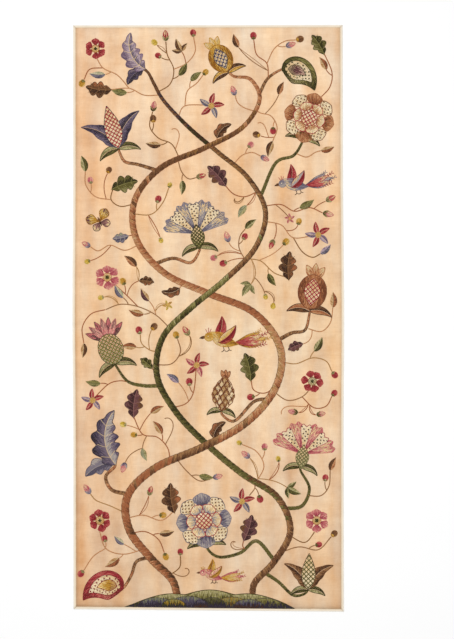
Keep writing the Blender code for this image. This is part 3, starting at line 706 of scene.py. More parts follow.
def stem(path, families, block, slant=58):
    """A stem in slanting satin stitch: blocks of colour along it, lighter on one side, dark at both edges."""
    along = distances(path)
    half = path[:, 2] / 2 * (1 + 0.07 * np.sin(2 * math.pi * along / (0.9 * block) + RNG.uniform(0, 6)))
    shape = np.vstack([np.column_stack([along, -half]), np.column_stack([along, half])[::-1]])
    ends = filled(shape, MILLIMETRE, slant, STEM_STITCH)
    x, y = middles(ends).T
    breaks = np.cumsum(RNG.uniform(0.6, 1.4, int(2 * along[-1] / block) + 6) * block)
    place = np.searchsorted(breaks, x - 0.7 * y)
    into = 1 - (breaks[place] - x + 0.7 * y) / block
    level = 0.5 + 0.28 * (y / np.interp(x, along, half)) + 0.25 * (into - 0.5)
    order = np.concatenate([breaks[:1], breaks]) / along[-1] * len(families)
    order = (order + RNG.normal(0, 0.3, len(order))).astype(int)
    family = np.clip(order, 0, len(families) - 1)[place]
    rows = [stitched(ends, dyed_apart(families, family, level, 0.08))]
    for side in (1, -1):
        edge = np.column_stack([along, side * half])
        rows.append(line(edge, MILLIMETRE, families[0].split()[1], width=STEM_EDGE_WIDTH, lift=STEM_LIFT))
    return placed(np.vstack(rows), (follow, path))


# Motifs, one unit long, that stand on the origin and grow along +Y


NO_OUTLINE = np.zeros((3, 2))


class Motif:
    """A motif being worked, shape by shape. In words for tones, 1 is its first wool and 2 its second."""

    def __init__(self, mm, wool, second):
        self.mm = mm
        self.wools = {"1": wool, "2": second}
        self.patches = []

    def toned(self, words):
        return "".join(self.wools.get(letter, letter) for letter in words)

    def on(self, shape, *work, **settings):
        """Starts on a shape, and fills it where stitches and their tones are given."""
        self.shape, self.rows = shape, np.empty((0, 9))
        return self.add(work[0], shape, *work[1:], **settings) if work else self

    def add(self, stitches, place, *values, **settings):
        """Adds stitches on an outline, a path or places."""
        values = [self.toned(value) if isinstance(value, str) else value for value in values]
        rows = stitches(np.asarray(place, float), self.mm, *values, **settings)
        self.rows = np.vstack([self.rows, rows])
        return self

    def edge(self, tone, width=0.0021):
        return self.add(line, np.vstack([self.shape, self.shape[:1]]), tone, width)

    def bend(self, length, degrees):
        self.shape, self.rows = bent(self.shape, length, degrees), placed(self.rows, (bent, length, degrees))
        return self

    def move(self, *values):
        self.shape, self.rows = moved(self.shape, *values), placed(self.rows, (moved, *values))
        return self

    def put(self, layer):
        """Ends a shape, above the shapes of lower layers."""
        self.patches.append((self.shape, layer, self.rows))


def sepals(m, length, width, turn, bend, foot=0.02, tones=("moss- moss", "sage sage+")):
    """A pair of small leaves that curl away from a flower's foot."""
    m.on(blade(length, width, 0.4, 6), fishbone, *tones).edge(tones[0].split()[0])
    worked = m.shape, m.rows
    for side in (1, -1):
        m.shape, m.rows = worked
        m.bend(length, side * bend).move(-side * width / 8, foot, -side * turn).put(0.0)


def peony(m):
    sepals(m, 0.40, 0.13, 72, 60, 0.10)
    for k in range(8):
        work, edge = ((dotted, "cream cream+", "brown"), "1-") if k % 2 else ((satin, "1- 1- 1 1+"), "1")
        m.on(blade(0.32, 0.33, 0.66, 7), *work).edge(edge)
        m.move(0, 0.18).move(0, 0.5, 45 * k).put(0.2 * (k % 2))
    for k in range(6):
        m.on(blade(0.22, 0.27, 0.62, 5), satin, "1 1+ cream cream+").edge("2")
        m.move(0, 0.10).move(0, 0.5, 60 * k + 30).put(0.5)
    m.on(disc(0.16), lattice, "cream cream+", "2", "2-").edge("1-").move(0, 0.5).put(1.0)


def pomegranate(m):
    sepals(m, 0.52, 0.17, 62, 70, tones=("brown- brown", "1 1+"))
    for turn in (-34, 0, 34):
        m.on(blade(0.34, 0.15, 0.5, 5), satin, "1 1+ cream").edge("1").move(0, 0.66, turn).put(0.2)
    m.on(disc(0.29, 16, 1.2), satin, "1- 1 1+ 1 1-", along=(1, 0)).edge("1-").move(0, 0.42).put(0.5)
    m.on(blade(0.56, 0.32, 0.5, 8), lattice, "cream+ cream", "2", "2-", dot="gold").edge("2-")
    m.move(0, 0.14).put(1.0)


def tulip(m):
    sepals(m, 0.50, 0.16, 72, 70)
    for side in (1, -1):
        m.on(blade(0.88, 0.32, 0.36, 13, 3, 0.22, 1.5), fishbone, "1- 1 1+", "1+ 1 1-").edge("1")
        m.bend(0.88, side * 62).move(0.02 * side, 0.05, -side * 14).put(0.0)
    m.on(blade(0.90, 0.34, 0.42, 9), lattice, "cream+ cream", "2", "2-").edge("1-").move(0, 0.02).put(0.6)


def carnation(m):
    sepals(m, 0.42, 0.13, 70, 80, 0.04)
    for k in range(7):
        work, edge = ((dotted, "cream cream+", "plum-"), "1-") if k % 2 else ((satin, "1- 1 1+ cream 1"), "1")
        m.on(fan_petal(0.08, 0.66 - 0.05 * (k % 2), 25), *work).edge(edge)
        m.move(0, 0.30, 66 - 22 * k).put(0.25 * (k % 2))
    m.on(blade(0.48, 0.26, 0.5, 8), lattice, "2+ cream", "2-", "2", pitch=9.0).edge("2-").put(0.7)


def thistle(m):
    sepals(m, 0.46, 0.15, 75, 75, 0.03)
    for k in range(7):
        edge, tones = ("2", "2 2+ 1+") if k % 2 else ("1-", "1- 1 2")
        m.on(blade(0.46, 0.12, 0.55, 5), satin, tones).edge(edge, 0.0014)
        m.move(0, 0.48, 54 - 18 * k).put(0.2 * (k % 2))
    m.on(disc(0.24, 14, 1.25), lattice, "sage+ cream", "moss", "gold", dot="crimson").edge("moss-")
    m.move(0, 0.32).put(0.7)


def paisley(m):
    m.on(blade(1.0, 0.62, 0.36, 16), satin, "1- 1 1+ 1 1-").edge("1-").bend(1, 95).put(0.0)
    m.on(blade(0.74, 0.44, 0.38, 12), dotted, "cream cream+", "1-").edge("1-")
    m.move(0, 0.07).bend(1, 95).put(0.5)
    m.on(blade(0.44, 0.24, 0.40, 9), satin, "2- 2 2+").edge("1-").move(0, 0.15).bend(1, 95).put(1.0)


def veins(m, tone, spread, *heights, width=0.0016):
    """Lines that rise from a leaf's middle line to both edges."""
    for y in heights:
        for side in (1, -1):
            m.add(line, [(0, y), (spread * side, y + spread * 0.55)], tone, width)


def acanthus(m):
    m.on(blade(0.56, 0.30, 0.45, 15, 3, 0.40, 1.6), fishbone, "2- 2", "2 2+").edge("2-")
    m.add(line, [(0, 0), (0, 0.5)], "2+").bend(0.56, -60).move(0.0, 0.03, 40).put(0.0)
    m.on(blade(1.0, 0.50, 0.40, 25, 5, 0.42, 1.6), fishbone, "1+ 1 1-", "2+ 1+ 1").edge("1-")
    m.add(line, [(0, 0), (0, 0.94)], "cream", 0.0022)
    veins(m, "cream", 0.13, 0.16, 0.34, 0.52, 0.70)
    m.bend(1.0, 85).put(0.5)


def cone(m):
    sepals(m, 0.40, 0.13, 70, 80)
    for turn in (-26, 0, 26):
        m.on(blade(0.24, 0.10, 0.5, 5), satin, "2 2+").edge("2-").move(0, 0.74, turn).put(0.0)
    m.on(blade(0.84, 0.54, 0.44, 23, 6, 0.16, 1.5), scales, 0.13, 0.10, "1+ 1 2-", "cream+ cream 2-")
    m.edge("2-").move(0, 0.02).put(0.5)


def rosette(m):
    for k in range(6):
        length, width = 0.40 + RNG.uniform(-0.03, 0.02), 0.38 + RNG.uniform(-0.04, 0.02)
        m.on(blade(length, width, 0.64, 5), satin, "1- 1- 1 1 1+")
        m.add(line, [(0, 0.10), (0, 0.26)], "1-", 0.0018)
        m.move(0, 0.08).move(0, 0, 60 * k + RNG.uniform(-5, 5)).put(0.2 * (k % 2))
    m.on(disc(0.17, 10), satin, "cream cream+").edge("1-", 0.0016)
    m.add(knots, disc(0.17), "2", pitch=2.9).add(knots, disc(0.07), "moss-", 0.003, 0.001, 2.4).put(0.7)


def star(m):
    for k in range(5):
        wool = "2" if k % 2 else "1"
        m.on(blade(0.46, 0.19, 0.42, 5), fishbone, f"{wool}- {wool}", f"{wool}+ {wool}").edge(wool, 0.0015)
        m.bend(0.46, 30).move(0, 0.03).move(0, 0, 72 * k).put(0.1 * (k % 3))
    m.on(disc(0.11, 7), satin, "gold").add(knots, disc(0.12), "gold+", pitch=2.6).put(0.6)


def oak(m):
    m.on(blade(1.0, 0.66, 0.50, 21, 3.5, 0.50), fishbone, "1- 1", "1 2").edge("1-", 0.0015)
    m.add(line, [(0, -0.04), (0, 0.92)], "1+", 0.0018)
    veins(m, "1+", 0.20, 0.22, 0.48, 0.74, width=0.0013)
    m.bend(1.0, 25).put(0.2)


def bird(m):
    """Looks along +X, its tail to -X."""
    for k in range(-2, 3):
        length = 0.52 - 0.05 * abs(k)
        edge, tones = ("2", "2 2+ cream") if k % 2 else ("1-", "1- 1 1+")
        m.on(blade(length, 0.085, 0.62, 5), satin, tones).edge(edge, 0.0013)
        m.bend(length, 8 * k + 14).move(-0.13, 0, 92 + 10 * k).put(0.15 * (k % 2))
    for k, (turn, length, bend) in enumerate(BIRD_PLUMES):
        wool = "2" if k % 2 else "1"
        spine = [(0, share * length) for share in np.linspace(0, 1, 9)]
        m.on(NO_OUTLINE).add(line, spine, wool + "-", 0.0016)
        for y in np.arange(0.45, 1, 0.09) * length:
            for side in (1, -1):
                m.add(barb, (0, y, 0.032 * side, y + 0.036), wool)
        m.bend(length, bend).move(-0.13, 0, turn).put(0.05)
    m.on(blade(0.40, 0.16, 0.40, 6), fishbone, "2 2+", "2- 2").edge("2", 0.0014)
    m.bend(0.40, 50).move(0.15, 0.06, 42).put(0.3)
    m.on(blade(0.11, 0.050, 0.3, 5), satin, "brown brown-").move(0.305, 0.120, -98).put(0.4)
    m.on(blade(0.50, 0.21, 0.56, 8), satin, "1- 1 1 1+ cream", along=(0.9, 0.44)).edge("1", 0.0015)
    m.bend(0.50, -34).move(-0.20, -0.03, -80).put(0.5)
    m.on(disc(0.070, 9), satin, "1+ 1", angle=10).edge("1", 0.0015)
    for size, tone, lift in ((0.0042, "cream+", 0.0006), (0.0022, "brown-", 0.0012)):
        m.add(knots, [(0.012, 0.012)], tone, size, lift)
    m.move(0.255, 0.115).put(0.7)
    m.on(NO_OUTLINE)
    for paths, tone, width in ((BIRD_LEGS, "brown-", 0.0022), (BIRD_CREST, "2", 0.0018)):
        for path in paths:
            m.add(line, path, tone, width)
    m.put(0.1)
    m.on(blade(0.40, 0.16, 0.40, 7), fishbone, "2- 2", "1+ cream", slant=62).edge("2-", 0.0015)
    m.add(line, [(0, 0.02), (0, 0.36)], "2+").bend(0.40, 45).move(0.12, 0.02, 72).put(1.0)


def barb(ends, mm, tone):
    return plain(ends[None], tone, 0.0002, 0.0022)


def butterfly(m):
    for side in (1, -1):
        m.on(blade(0.36, 0.28, 0.62, 7), satin, "2 2+ cream").edge("2-").move(0, -0.02, 122 * side).put(0.0)
        m.on(blade(0.50, 0.36, 0.66, 8), satin, "1- 1 1+ 2").edge("1-")
        m.add(knots, [(0.0, 0.33), (-0.07, 0.26), (0.07, 0.26)], "cream+").move(0, 0, 52 * side).put(0.2)
    m.on(blade(0.42, 0.07, 0.6, 6), satin, "brown- brown").move(0, -0.22).put(0.6)


def leaf(m, turn=0, size=1.0, layer=0.0):
    """A small leaf, one half lighter, that bends a little to one side."""
    m.on(blade(1.0, 0.44, 0.42, 9), fishbone, "1 1-", "2+ 2").add(line, [(0, 0), (0, 0.86)], "1-", 0.0017)
    m.bend(1.0, 28).move(0, 0, turn, size).put(layer)


def spray(m):
    """Three small leaves that open from one place."""
    mm = m.mm
    for turn, size, layer in ((58, 0.72, 0.0), (-58, 0.72, 0.0), (0, 1.0, 0.2)):
        m.mm = mm / size
        leaf(m, turn, size, layer)


def berry(m):
    """A round fruit in a small cup."""
    m.on(disc(0.40, 10, 1.15), satin, "1- 1 1 1+", along=(0.7, 0.7), length=20).edge("1+", 0.0012)
    m.move(0, 0.55).put(0.2)
    m.on(blade(0.46, 0.62, 0.45, 6), satin, "2- 2 2+").put(0.5)


def bud(m):
    """A closed flower: a pointed tip between two sepals."""
    m.on(blade(0.94, 0.46, 0.55, 8), satin, "1- 1 1+ cream", length=20).edge("1", 0.0014)
    m.move(0, 0.06).put(0.2)
    for side in (1, -1):
        m.on(blade(0.62, 0.26, 0.42, 6), satin, "2- 2 2+")
        m.bend(0.62, side * 34).move(0, 0, -side * 16).put(0.5)


def hook(m):
    """A curled stub of a leaf on the side of a stem, in three lobes."""
    m.on(blade(1.0, 0.56, 0.38, 17, 3, 0.46, 1.5), fishbone, "1 2", "1- 1").edge("1-", 0.0017)
    m.bend(1.0, 75).put(0.0)


def mound_top(x):
    swell = np.maximum(0, np.cos(math.pi * x)) ** 0.7
    return 0.003 + 0.090 * swell * (0.70 + 0.30 * np.abs(np.cos(3 * math.pi * x)))


def mound_foot(x):
    return -0.0275 - 0.0097 * x


def mound(m):
    """A low mound of overlapping hillocks, each paler towards its crest; its foot follows the binding."""
    x = np.concatenate([(-0.57, 0.57), np.linspace(0.5, -0.5, 25)])
    y = np.append(mound_foot(x[:2]), mound_top(x[2:]))
    m.on(np.column_stack([x, y]), satin, "navy- 1- 2+").edge("moss-").put(0.2)
    for k, (middle, half, share, tones) in enumerate(HILLOCKS):
        angle = np.linspace(0, math.pi, 11)
        x = middle + half * np.cos(angle)
        swell = (share * mound_top(middle) - mound_foot(middle)) * np.sin(angle) ** 0.8
        y = np.minimum(mound_foot(x) + swell, mound_top(x))
        m.on(np.column_stack([x, y]), satin, tones, blur=0.16).edge(tones.split()[1], 0.0014)
        m.put(0.22 + 0.02 * k)


KINDS = {kind.__name__: kind for kind in (
    mound, peony, pomegranate, tulip, carnation, thistle, paisley, acanthus, cone, rosette, star, oak, bird,
    butterfly, leaf, spray, berry, bud, hook)}


def work_motif(kind, x, y, turn, size, mirrored, wools):
    """A motif in its place: its stitches and its outlines."""
    m = Motif(MILLIMETRE / size, *wools.split())
    KINDS[kind](m)
    rows = placed(stacked(m.patches), (moved, x, y, turn, size, mirrored))
    return rows, [moved(shape, x, y, turn, size, mirrored) for shape, _, _ in m.patches]


# Pieces


def uncentred(u, v, inset=0.0):
    """A point of the panel at shares u of its width and v of its height, inset from its edges."""
    u = inset / PANEL_WIDTH + u * (1 - 2 * inset / PANEL_WIDTH)
    v = inset / PANEL_HEIGHT + v * (1 - 2 * inset / PANEL_HEIGHT)
    low, high = ((1 - u)[:, None] * left + u[:, None] * right for left, right in CORNERS)
    point = (1 - v)[:, None] * low + v[:, None] * high
    bow = np.cos(math.pi / 2 * np.clip((v - BOW_MIDDLE) / BOW_REACH, -1, 1)) ** 2
    point[:, 0] += bow * (RIGHT_BOW * u - LEFT_BOW * (1 - u))
    return point


EVEN = np.linspace(0, 1, 401)
OUTLINE = np.vstack([uncentred(*uv) for end in (0 * EVEN, 0 * EVEN + 1) for uv in ((end, EVEN), (EVEN, end))])
MIDDLE = (OUTLINE.min(axis=0) + OUTLINE.max(axis=0)) / 2


def panel_point(u, v, inset=0.0):
    """The same in the frame, where the middle of the panel's box is the origin."""
    return uncentred(u, v, inset) - MIDDLE


def rise(x, y):
    """How far the cloth is lifted by the tape's lower fold, close to its edges."""
    inset = np.minimum(PANEL_WIDTH / 2 - np.abs(x), PANEL_HEIGHT / 2 - np.abs(y))
    t = np.clip((SETTLED_AT - inset) / (SETTLED_AT - TAPE_WIDTH - CLEARANCE), 0, 1)
    return EDGE_LIFT * t * t * (3 - 2 * t)


def cloth_top(x, y):
    """The height of the cloth's face, with the slight puckers that the stitches draw into it."""
    pucker = sum(height * np.sin(2 * math.pi * (across * x + up * y) + phase)
                 for across, up, phase, height in PUCKERS)
    lift = rise(x, y)
    return CLOTH_THICK + lift + pucker * (1 - lift / EDGE_LIFT)


def add_piece(name, points, faces, finish):
    mesh = bpy.data.meshes.new(name)
    mesh.from_pydata(points, [], faces)
    mesh.materials.append(finish)
    mesh.polygons.foreach_set("use_smooth", np.ones(len(mesh.polygons), bool))
    piece = bpy.data.objects.new(name, mesh)
    bpy.context.scene.collection.objects.link(piece)
    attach(piece, "root")
    return piece


def lay_map(mesh, name, per_point):
    """A UV map from one pair of values for each point of the mesh."""
    corners = np.empty(len(mesh.loops), np.int32)
    mesh.loops.foreach_get("vertex_index", corners)
    mesh.uv_layers.new(name=name).data.foreach_set("uv", np.asarray(per_point, np.float32)[corners].ravel())


def lay_values(mesh, name, kind, field, per_point):
    """An attribute of the mesh's points."""
    values = np.asarray(per_point, np.float32).ravel()
    mesh.attributes.new(name, kind, "POINT").data.foreach_set(field, values)


def flat_map(mesh):
    """A map of the mesh as seen from above, meant for baking its colours."""
    points = np.empty(len(mesh.vertices) * 3)
    mesh.vertices.foreach_get("co", points)
    points = points.reshape(-1, 3)[:, :2]
    low, high = points.min(axis=0), points.max(axis=0)
    lay_map(mesh, "OFBake", (points - low) / (high - low))


STRAND_FACES = np.array([
    (0, 2, 1), (0, 3, 2), (0, 1, 3), (7, 4, 5), (7, 5, 6), (7, 6, 4),
    (1, 2, 5), (1, 5, 4), (2, 3, 6), (2, 6, 5), (3, 1, 4), (3, 4, 6),
])
KNOT_SIDES = 6


def strand_points(rows):
    """Eight points for each stitch: its ends, drawn into the cloth, and two rings of three between them."""
    start, step = rows[:, START], rows[:, END] - rows[:, START]
    length = np.linalg.norm(step, axis=1)[:, None]
    aside = np.column_stack([-step[:, 1], step[:, 0]]) / length * rows[:, WIDTH, None] / 2
    shoulder = np.minimum(0.24, rows[:, WIDTH, None] * 0.9 / length)
    points, plies = np.empty((len(rows), 8, 3)), np.zeros((len(rows), 8, 2))
    points[:, 0, :2], points[:, 7, :2] = start, start + step
    plies[:, 7, 0] = length[:, 0]
    for first, share in ((1, shoulder), (4, 1 - shoulder)):
        for k, side in enumerate((1, 0, -1)):
            points[:, first + k, :2] = start + step * share + aside * side
            plies[:, first + k] = np.column_stack([share * length, np.full(len(rows), PLY * (1 - side) / 2)])
    points[..., 2] = cloth_top(points[..., 0], points[..., 1]) + rows[:, LIFT, None]
    points[:, (0, 7), 2] -= SUNK
    points[:, (2, 5), 2] += np.minimum(STRAND_HEIGHT, rows[:, WIDTH] * 0.55)[:, None]
    return points, plies


def knot_points(rows):
    """Thirteen points for each knot: a foot ring, a smaller ring above it and a middle."""
    n = KNOT_SIDES
    ring = disc(1, n)
    points = np.empty((len(rows), 2 * n + 1, 3))
    radius = rows[:, WIDTH, None, None] / 2
    middle = rows[:, None, START]
    points[:, :n, :2] = middle + ring * radius
    points[:, n:-1, :2] = middle + ring * radius * 0.72
    points[:, -1, :2] = rows[:, START]
    points[..., 2] = cloth_top(points[..., 0], points[..., 1]) + rows[:, LIFT, None]
    points[:, n:-1, 2] += 0.62 * radius[:, 0]
    points[:, -1, 2] += 0.80 * radius[:, 0, 0]
    plies = np.column_stack([np.arange(2 * n + 1) * PLY / 3, np.zeros(2 * n + 1)])
    return points, np.tile(plies, (len(rows), 1, 1))


def knot_faces():
    n = KNOT_SIDES
    faces = [(0, i + 1, i) for i in range(1, n - 1)]
    for i in range(n):
        j = (i + 1) % n
        faces += [(i, j, n + j), (i, n + j, n + i), (n + i, n + j, 2 * n)]
    return np.array(faces)


WORKED = []


def wool_piece(name, rows, slot, *nodes):
    """A piece of all the stitches in the rows, each a closed strand or knot of its own."""
    WORKED.append(np.vstack([rows[:, START], rows[:, END], middles(rows)]))
    knot = (rows[:, START] == rows[:, END]).all(axis=1)
    points, faces, plies, dyes, count = [], [], [], [], 0
    forms = ((~knot, strand_points, STRAND_FACES), (knot, knot_points, knot_faces()))
    for chosen, points_of, template in forms:
        if chosen.any():
            more, ply = points_of(rows[chosen])
            each = more.shape[1]
            offsets = count + np.arange(len(more)) * each
            points.append(more.reshape(-1, 3))
            plies.append(ply.reshape(-1, 2))
            faces.append((template[None] + offsets[:, None, None]).reshape(-1, 3))
            dyes.append(np.repeat(rows[chosen][:, COLOUR], each, axis=0))
            count += len(more) * each
    piece = add_piece(name, np.vstack(points), np.vstack(faces), WOOL)
    lay_values(piece.data, "dye", "FLOAT_COLOR", "color", np.column_stack([np.vstack(dyes), np.ones(count)]))
    lay_map(piece.data, "Plies", np.vstack(plies) / PLY)
    flat_map(piece.data)
    if nodes:
        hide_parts(*nodes)
    return piece


# Finishes

CLOTH_TONES = [
    # height on the panel, sRGB; the cloth is painted darker towards the bottom, painted shade of light
    # falling from above
    (0.0, (219, 183, 146)),
    (0.28, (228, 193, 156)),
    (0.5, (230, 196, 157)),
    (0.75, (230, 192, 153)),
    (1.0, (234, 202, 167)),
]
EVEN_BANDS = (17.0, 1.1, 0.0)
CAST_BANDS = (11.0, 3.2, 0.0)
STREAKS = (6.0, 70.0, 0.0)
WARP, WEFT = (900.0, 40.0, 0.0), (34.0, 800.0, 0.0)
THICK_WARP, THICK_WEFT = (190.0, 60.0, 0.0), (50.0, 210.0, 0.0)
RIB_PITCH = 0.0012
STAIN = np.array((1.0, 1.6, 2.1))
CAST = np.array((-0.16, 0.30, 0.95))
# Painted shade: the cloth darker and browner towards its left edge, over the reach in from it
LEFT_PAINTED_SHADE = np.array((0.965, 0.880, 0.820))
LEFT_SHADE_REACH = 0.24
# Painted shade: the cloth's colour darkened beside the tape, as the tape's edge would shade it
EDGE_PAINTED_SHADES = [
    # side, how much darker the painted shade makes the cloth beside the tape, how far in it ends
    ("left", 0.24, 0.0185),
    ("right", 0.17, 0.0175),
    ("top", 0.10, 0.0175),
    ("bottom", 0.25, 0.0175),
    ("bottom", 0.16, 0.0340),
]
TAPE_OUTER = (240, 232, 217)
TAPE_INNER = (226, 204, 173)
THREAD_TONE = (0.52, 0.42, 0.28)


class Finish:
    """A material of linked nodes around one Principled shader."""

    def __init__(self, name, **values):
        self.material = bpy.data.materials.new(name)
        self.material.use_nodes = True
        self.tree = self.material.node_tree
        self.shader = self.tree.nodes["Principled BSDF"]
        for socket, value in values.items():
            self.shader.inputs[socket.replace("_", " ")].default_value = value

    def node(self, kind, inputs=(), **settings):
        """A node with its settings; an input is a value or another node's output."""
        node = self.tree.nodes.new("ShaderNode" + kind)
        for key, value in settings.items():
            setattr(node, key, value)
        for key, value in dict(inputs).items():
            if isinstance(value, bpy.types.NodeSocket):
                self.tree.links.new(value, node.inputs[key])
            else:
                node.inputs[key].default_value = value
        return node

    def place(self):
        return self.node("TexCoord").outputs["Object"]

    def attribute(self, name, output):
        return self.node("Attribute", attribute_name=name).outputs[output]

    def math(self, operation, *values):
        return self.node("Math", dict(enumerate(values)), operation=operation).outputs[0]

    def vector(self, operation, *values):
        return self.node("VectorMath", dict(enumerate(values)), operation=operation).outputs[0]

    def wave(self, x, y, pitch):
        """A sine wave along the diagonal, whose crests lie a pitch apart on both axes."""
        return self.math("SINE", self.math("MULTIPLY", self.math("ADD", x, y), 2 * math.pi / pitch))

    def noise(self, vector, scale, detail=2.0, roughness=0.5):
        """Noise of one scale, or of a scale for each axis."""
        if isinstance(scale, tuple):
            vector, scale = self.vector("MULTIPLY", vector, scale), 1.0
        inputs = {"Vector": vector, "Scale": scale, "Detail": detail, "Roughness": roughness}
        return self.node("TexNoise", inputs).outputs["Fac"]

    def ranged(self, value, start, end, low=0.0, high=1.0):
        inputs = {"Value": value, "From Min": start, "From Max": end, "To Min": low, "To Max": high}
        return self.node("MapRange", inputs).outputs[0]

    def spread(self, noise, low, high):
        """Maps a noise of about 0.25 to 0.75 onto low to high."""
        return self.ranged(noise, 0.25, 0.75, low, high)

    def ramp(self, value, tones):
        """Colours of sRGB tones at their places from 0 to 1."""
        node = self.node("ValToRGB", {0: value})
        elements = node.color_ramp.elements
        for place, _ in tones[1:-1]:
            elements.new(place)
        for element, (_, tone) in zip(elements, tones):
            element.color = (*linear(tone), 1)
        return node.outputs[0]

    def surface(self, colour, factor, height=None, strength=0.0, distance=0.0):
        """Sets the shader's colour, brightened by a factor, and a bump."""
        colour = self.node("VectorMath", {0: colour, "Scale": factor}, operation="SCALE").outputs[0]
        self.tree.links.new(colour, self.shader.inputs["Base Color"])
        if height:
            bump = self.node("Bump", {"Height": height, "Strength": strength, "Distance": distance})
            self.tree.links.new(bump.outputs[0], self.shader.inputs["Normal"])
        return self.material


def wool_finish():
    """Two-ply crewel wool: the strand's own dye, mottled, with the twist of its plies, painted shade in their
    grooves and painted light on their crests, and a soft fuzz.
    """
    finish = Finish("crewel_wool", Roughness=0.9, Sheen_Weight=0.06, Sheen_Roughness=0.5,
                    Specular_IOR_Level=0.06)
    place = finish.place()
    x, y = finish.node("SeparateXYZ", {0: finish.node("UVMap", uv_map="Plies").outputs[0]}).outputs[:2]
    twist = finish.wave(x, y, 1)
    fuzz = finish.noise(place, 2600.0)
    heather = finish.spread(finish.noise(place, 420.0, 3.0), 0.86, 1.14)
    # Painted shade in the grooves between the plies and painted light on their crests
    ply_painted_shade = finish.math("MULTIPLY_ADD", twist, 0.05, 1.0)
    dye = finish.attribute("dye", "Color")
    shade = finish.math("MULTIPLY", heather, ply_painted_shade)
    return finish.surface(dye, shade, finish.math("MULTIPLY_ADD", fuzz, 0.5, twist), 0.6, 0.00012)


def cloth_finish():
    """Cotton and linen twill: slubby threads both ways, fine diagonal ribs, soft bands of an uneven dye, with
    painted shade beside the tape, to the left, to the bottom and in the ribs.
    """
    finish = Finish("beige_twill", Roughness=0.9, Sheen_Weight=0.12, Sheen_Roughness=0.5,
                    Specular_IOR_Level=0.2)
    place = finish.place()
    x, y = finish.node("SeparateXYZ", {0: place}).outputs[:2]
    bands, clouds = finish.noise(place, EVEN_BANDS), finish.noise(place, 9.0, 4.0, 0.6)
    streaks = finish.noise(place, STREAKS, 3.0, 0.6)
    stain = finish.math("MULTIPLY_ADD", bands, 0.42, finish.math("MULTIPLY", clouds, 0.46))
    stain = finish.math("ADD", stain, finish.math("MULTIPLY", streaks, 0.12))
    cast = finish.noise(place, CAST_BANDS, 3.0, 0.6)
    stain = finish.vector("MULTIPLY_ADD", stain, STAIN, 1 - (STAIN + CAST) * 0.5)
    stain = finish.vector("MULTIPLY_ADD", cast, CAST, stain)
    warp, weft = finish.noise(place, WARP, 3.0), finish.noise(place, WEFT, 3.0)
    thick = finish.math("ADD", finish.noise(place, THICK_WARP), finish.noise(place, THICK_WEFT))
    slubs = finish.math("MULTIPLY", finish.math("ADD", warp, weft), 0.5)
    slubs = finish.math("MULTIPLY_ADD", thick, 0.2, slubs)
    slubs = finish.spread(finish.math("MULTIPLY", slubs, 0.714), 0.84, 1.16)
    ribs = finish.wave(x, y, RIB_PITCH)
    # The cloth's tones up the panel, with painted shade darkening it towards the bottom
    toned = finish.ramp(finish.math("MULTIPLY_ADD", y, 1 / PANEL_HEIGHT, 0.5), CLOTH_TONES)
    # Painted shade in the twill ribs' grooves and painted light on their crests
    shade = finish.math("MULTIPLY", slubs, finish.math("MULTIPLY_ADD", ribs, 0.02, 1.0))
    # The edge attribute darkens the cloth beside the tape: painted shade
    shade = finish.math("MULTIPLY", finish.attribute("edge", "Fac"), shade)
    # Painted shade towards the left edge
    left = finish.ranged(x, LEFT_SHADE_REACH - PANEL_WIDTH / 2, -PANEL_WIDTH / 2)
    left = finish.vector("MULTIPLY_ADD", left, LEFT_PAINTED_SHADE - 1, (1, 1, 1))
    toned = finish.vector("MULTIPLY", finish.vector("MULTIPLY", toned, stain), left)
    height = finish.math("ADD", finish.math("MULTIPLY", ribs, 0.25), finish.math("ADD", warp, weft))
    return finish.surface(toned, shade, height, 0.5, 0.0003)


def tape_finish():
    """Cream cotton tape: fine ribs across it, a little soiled along the fold."""
    finish = Finish("cream_tape", Roughness=0.85, Sheen_Weight=0.1, Specular_IOR_Level=0.25)
    place = finish.place()
    threads = finish.noise(place, (1400.0, 1400.0, 300.0))
    soil = finish.spread(finish.noise(place, 18.0, 3.0), 0.93, 1.04)
    shade = finish.math("MULTIPLY", soil, finish.spread(threads, 0.95, 1.05))
    toned = finish.ramp(finish.attribute("edge", "Fac"), [(0.0, TAPE_OUTER), (1.0, TAPE_INNER)])
    return finish.surface(toned, shade, threads, 0.5, 0.0002)


def floor_finish():
    finish = Finish("studio_floor", Roughness=0.7, Specular_IOR_Level=0.1)
    grey = finish.node("RGB").outputs[0]
    grey.default_value = (0.96, 0.96, 0.96, 1)
    return finish.surface(grey, finish.spread(finish.noise(finish.place(), 3.0), 0.99, 1.0))


# Cloth and binding


def graded(size, count):
    """Shares of a size: count even steps between finer ones close to both ends."""
    fine = np.array(EDGE_STEPS) / size
    return np.concatenate([fine[:-1], np.linspace(fine[-1], 1 - fine[-1], count + 1), 1 - fine[-2::-1]])


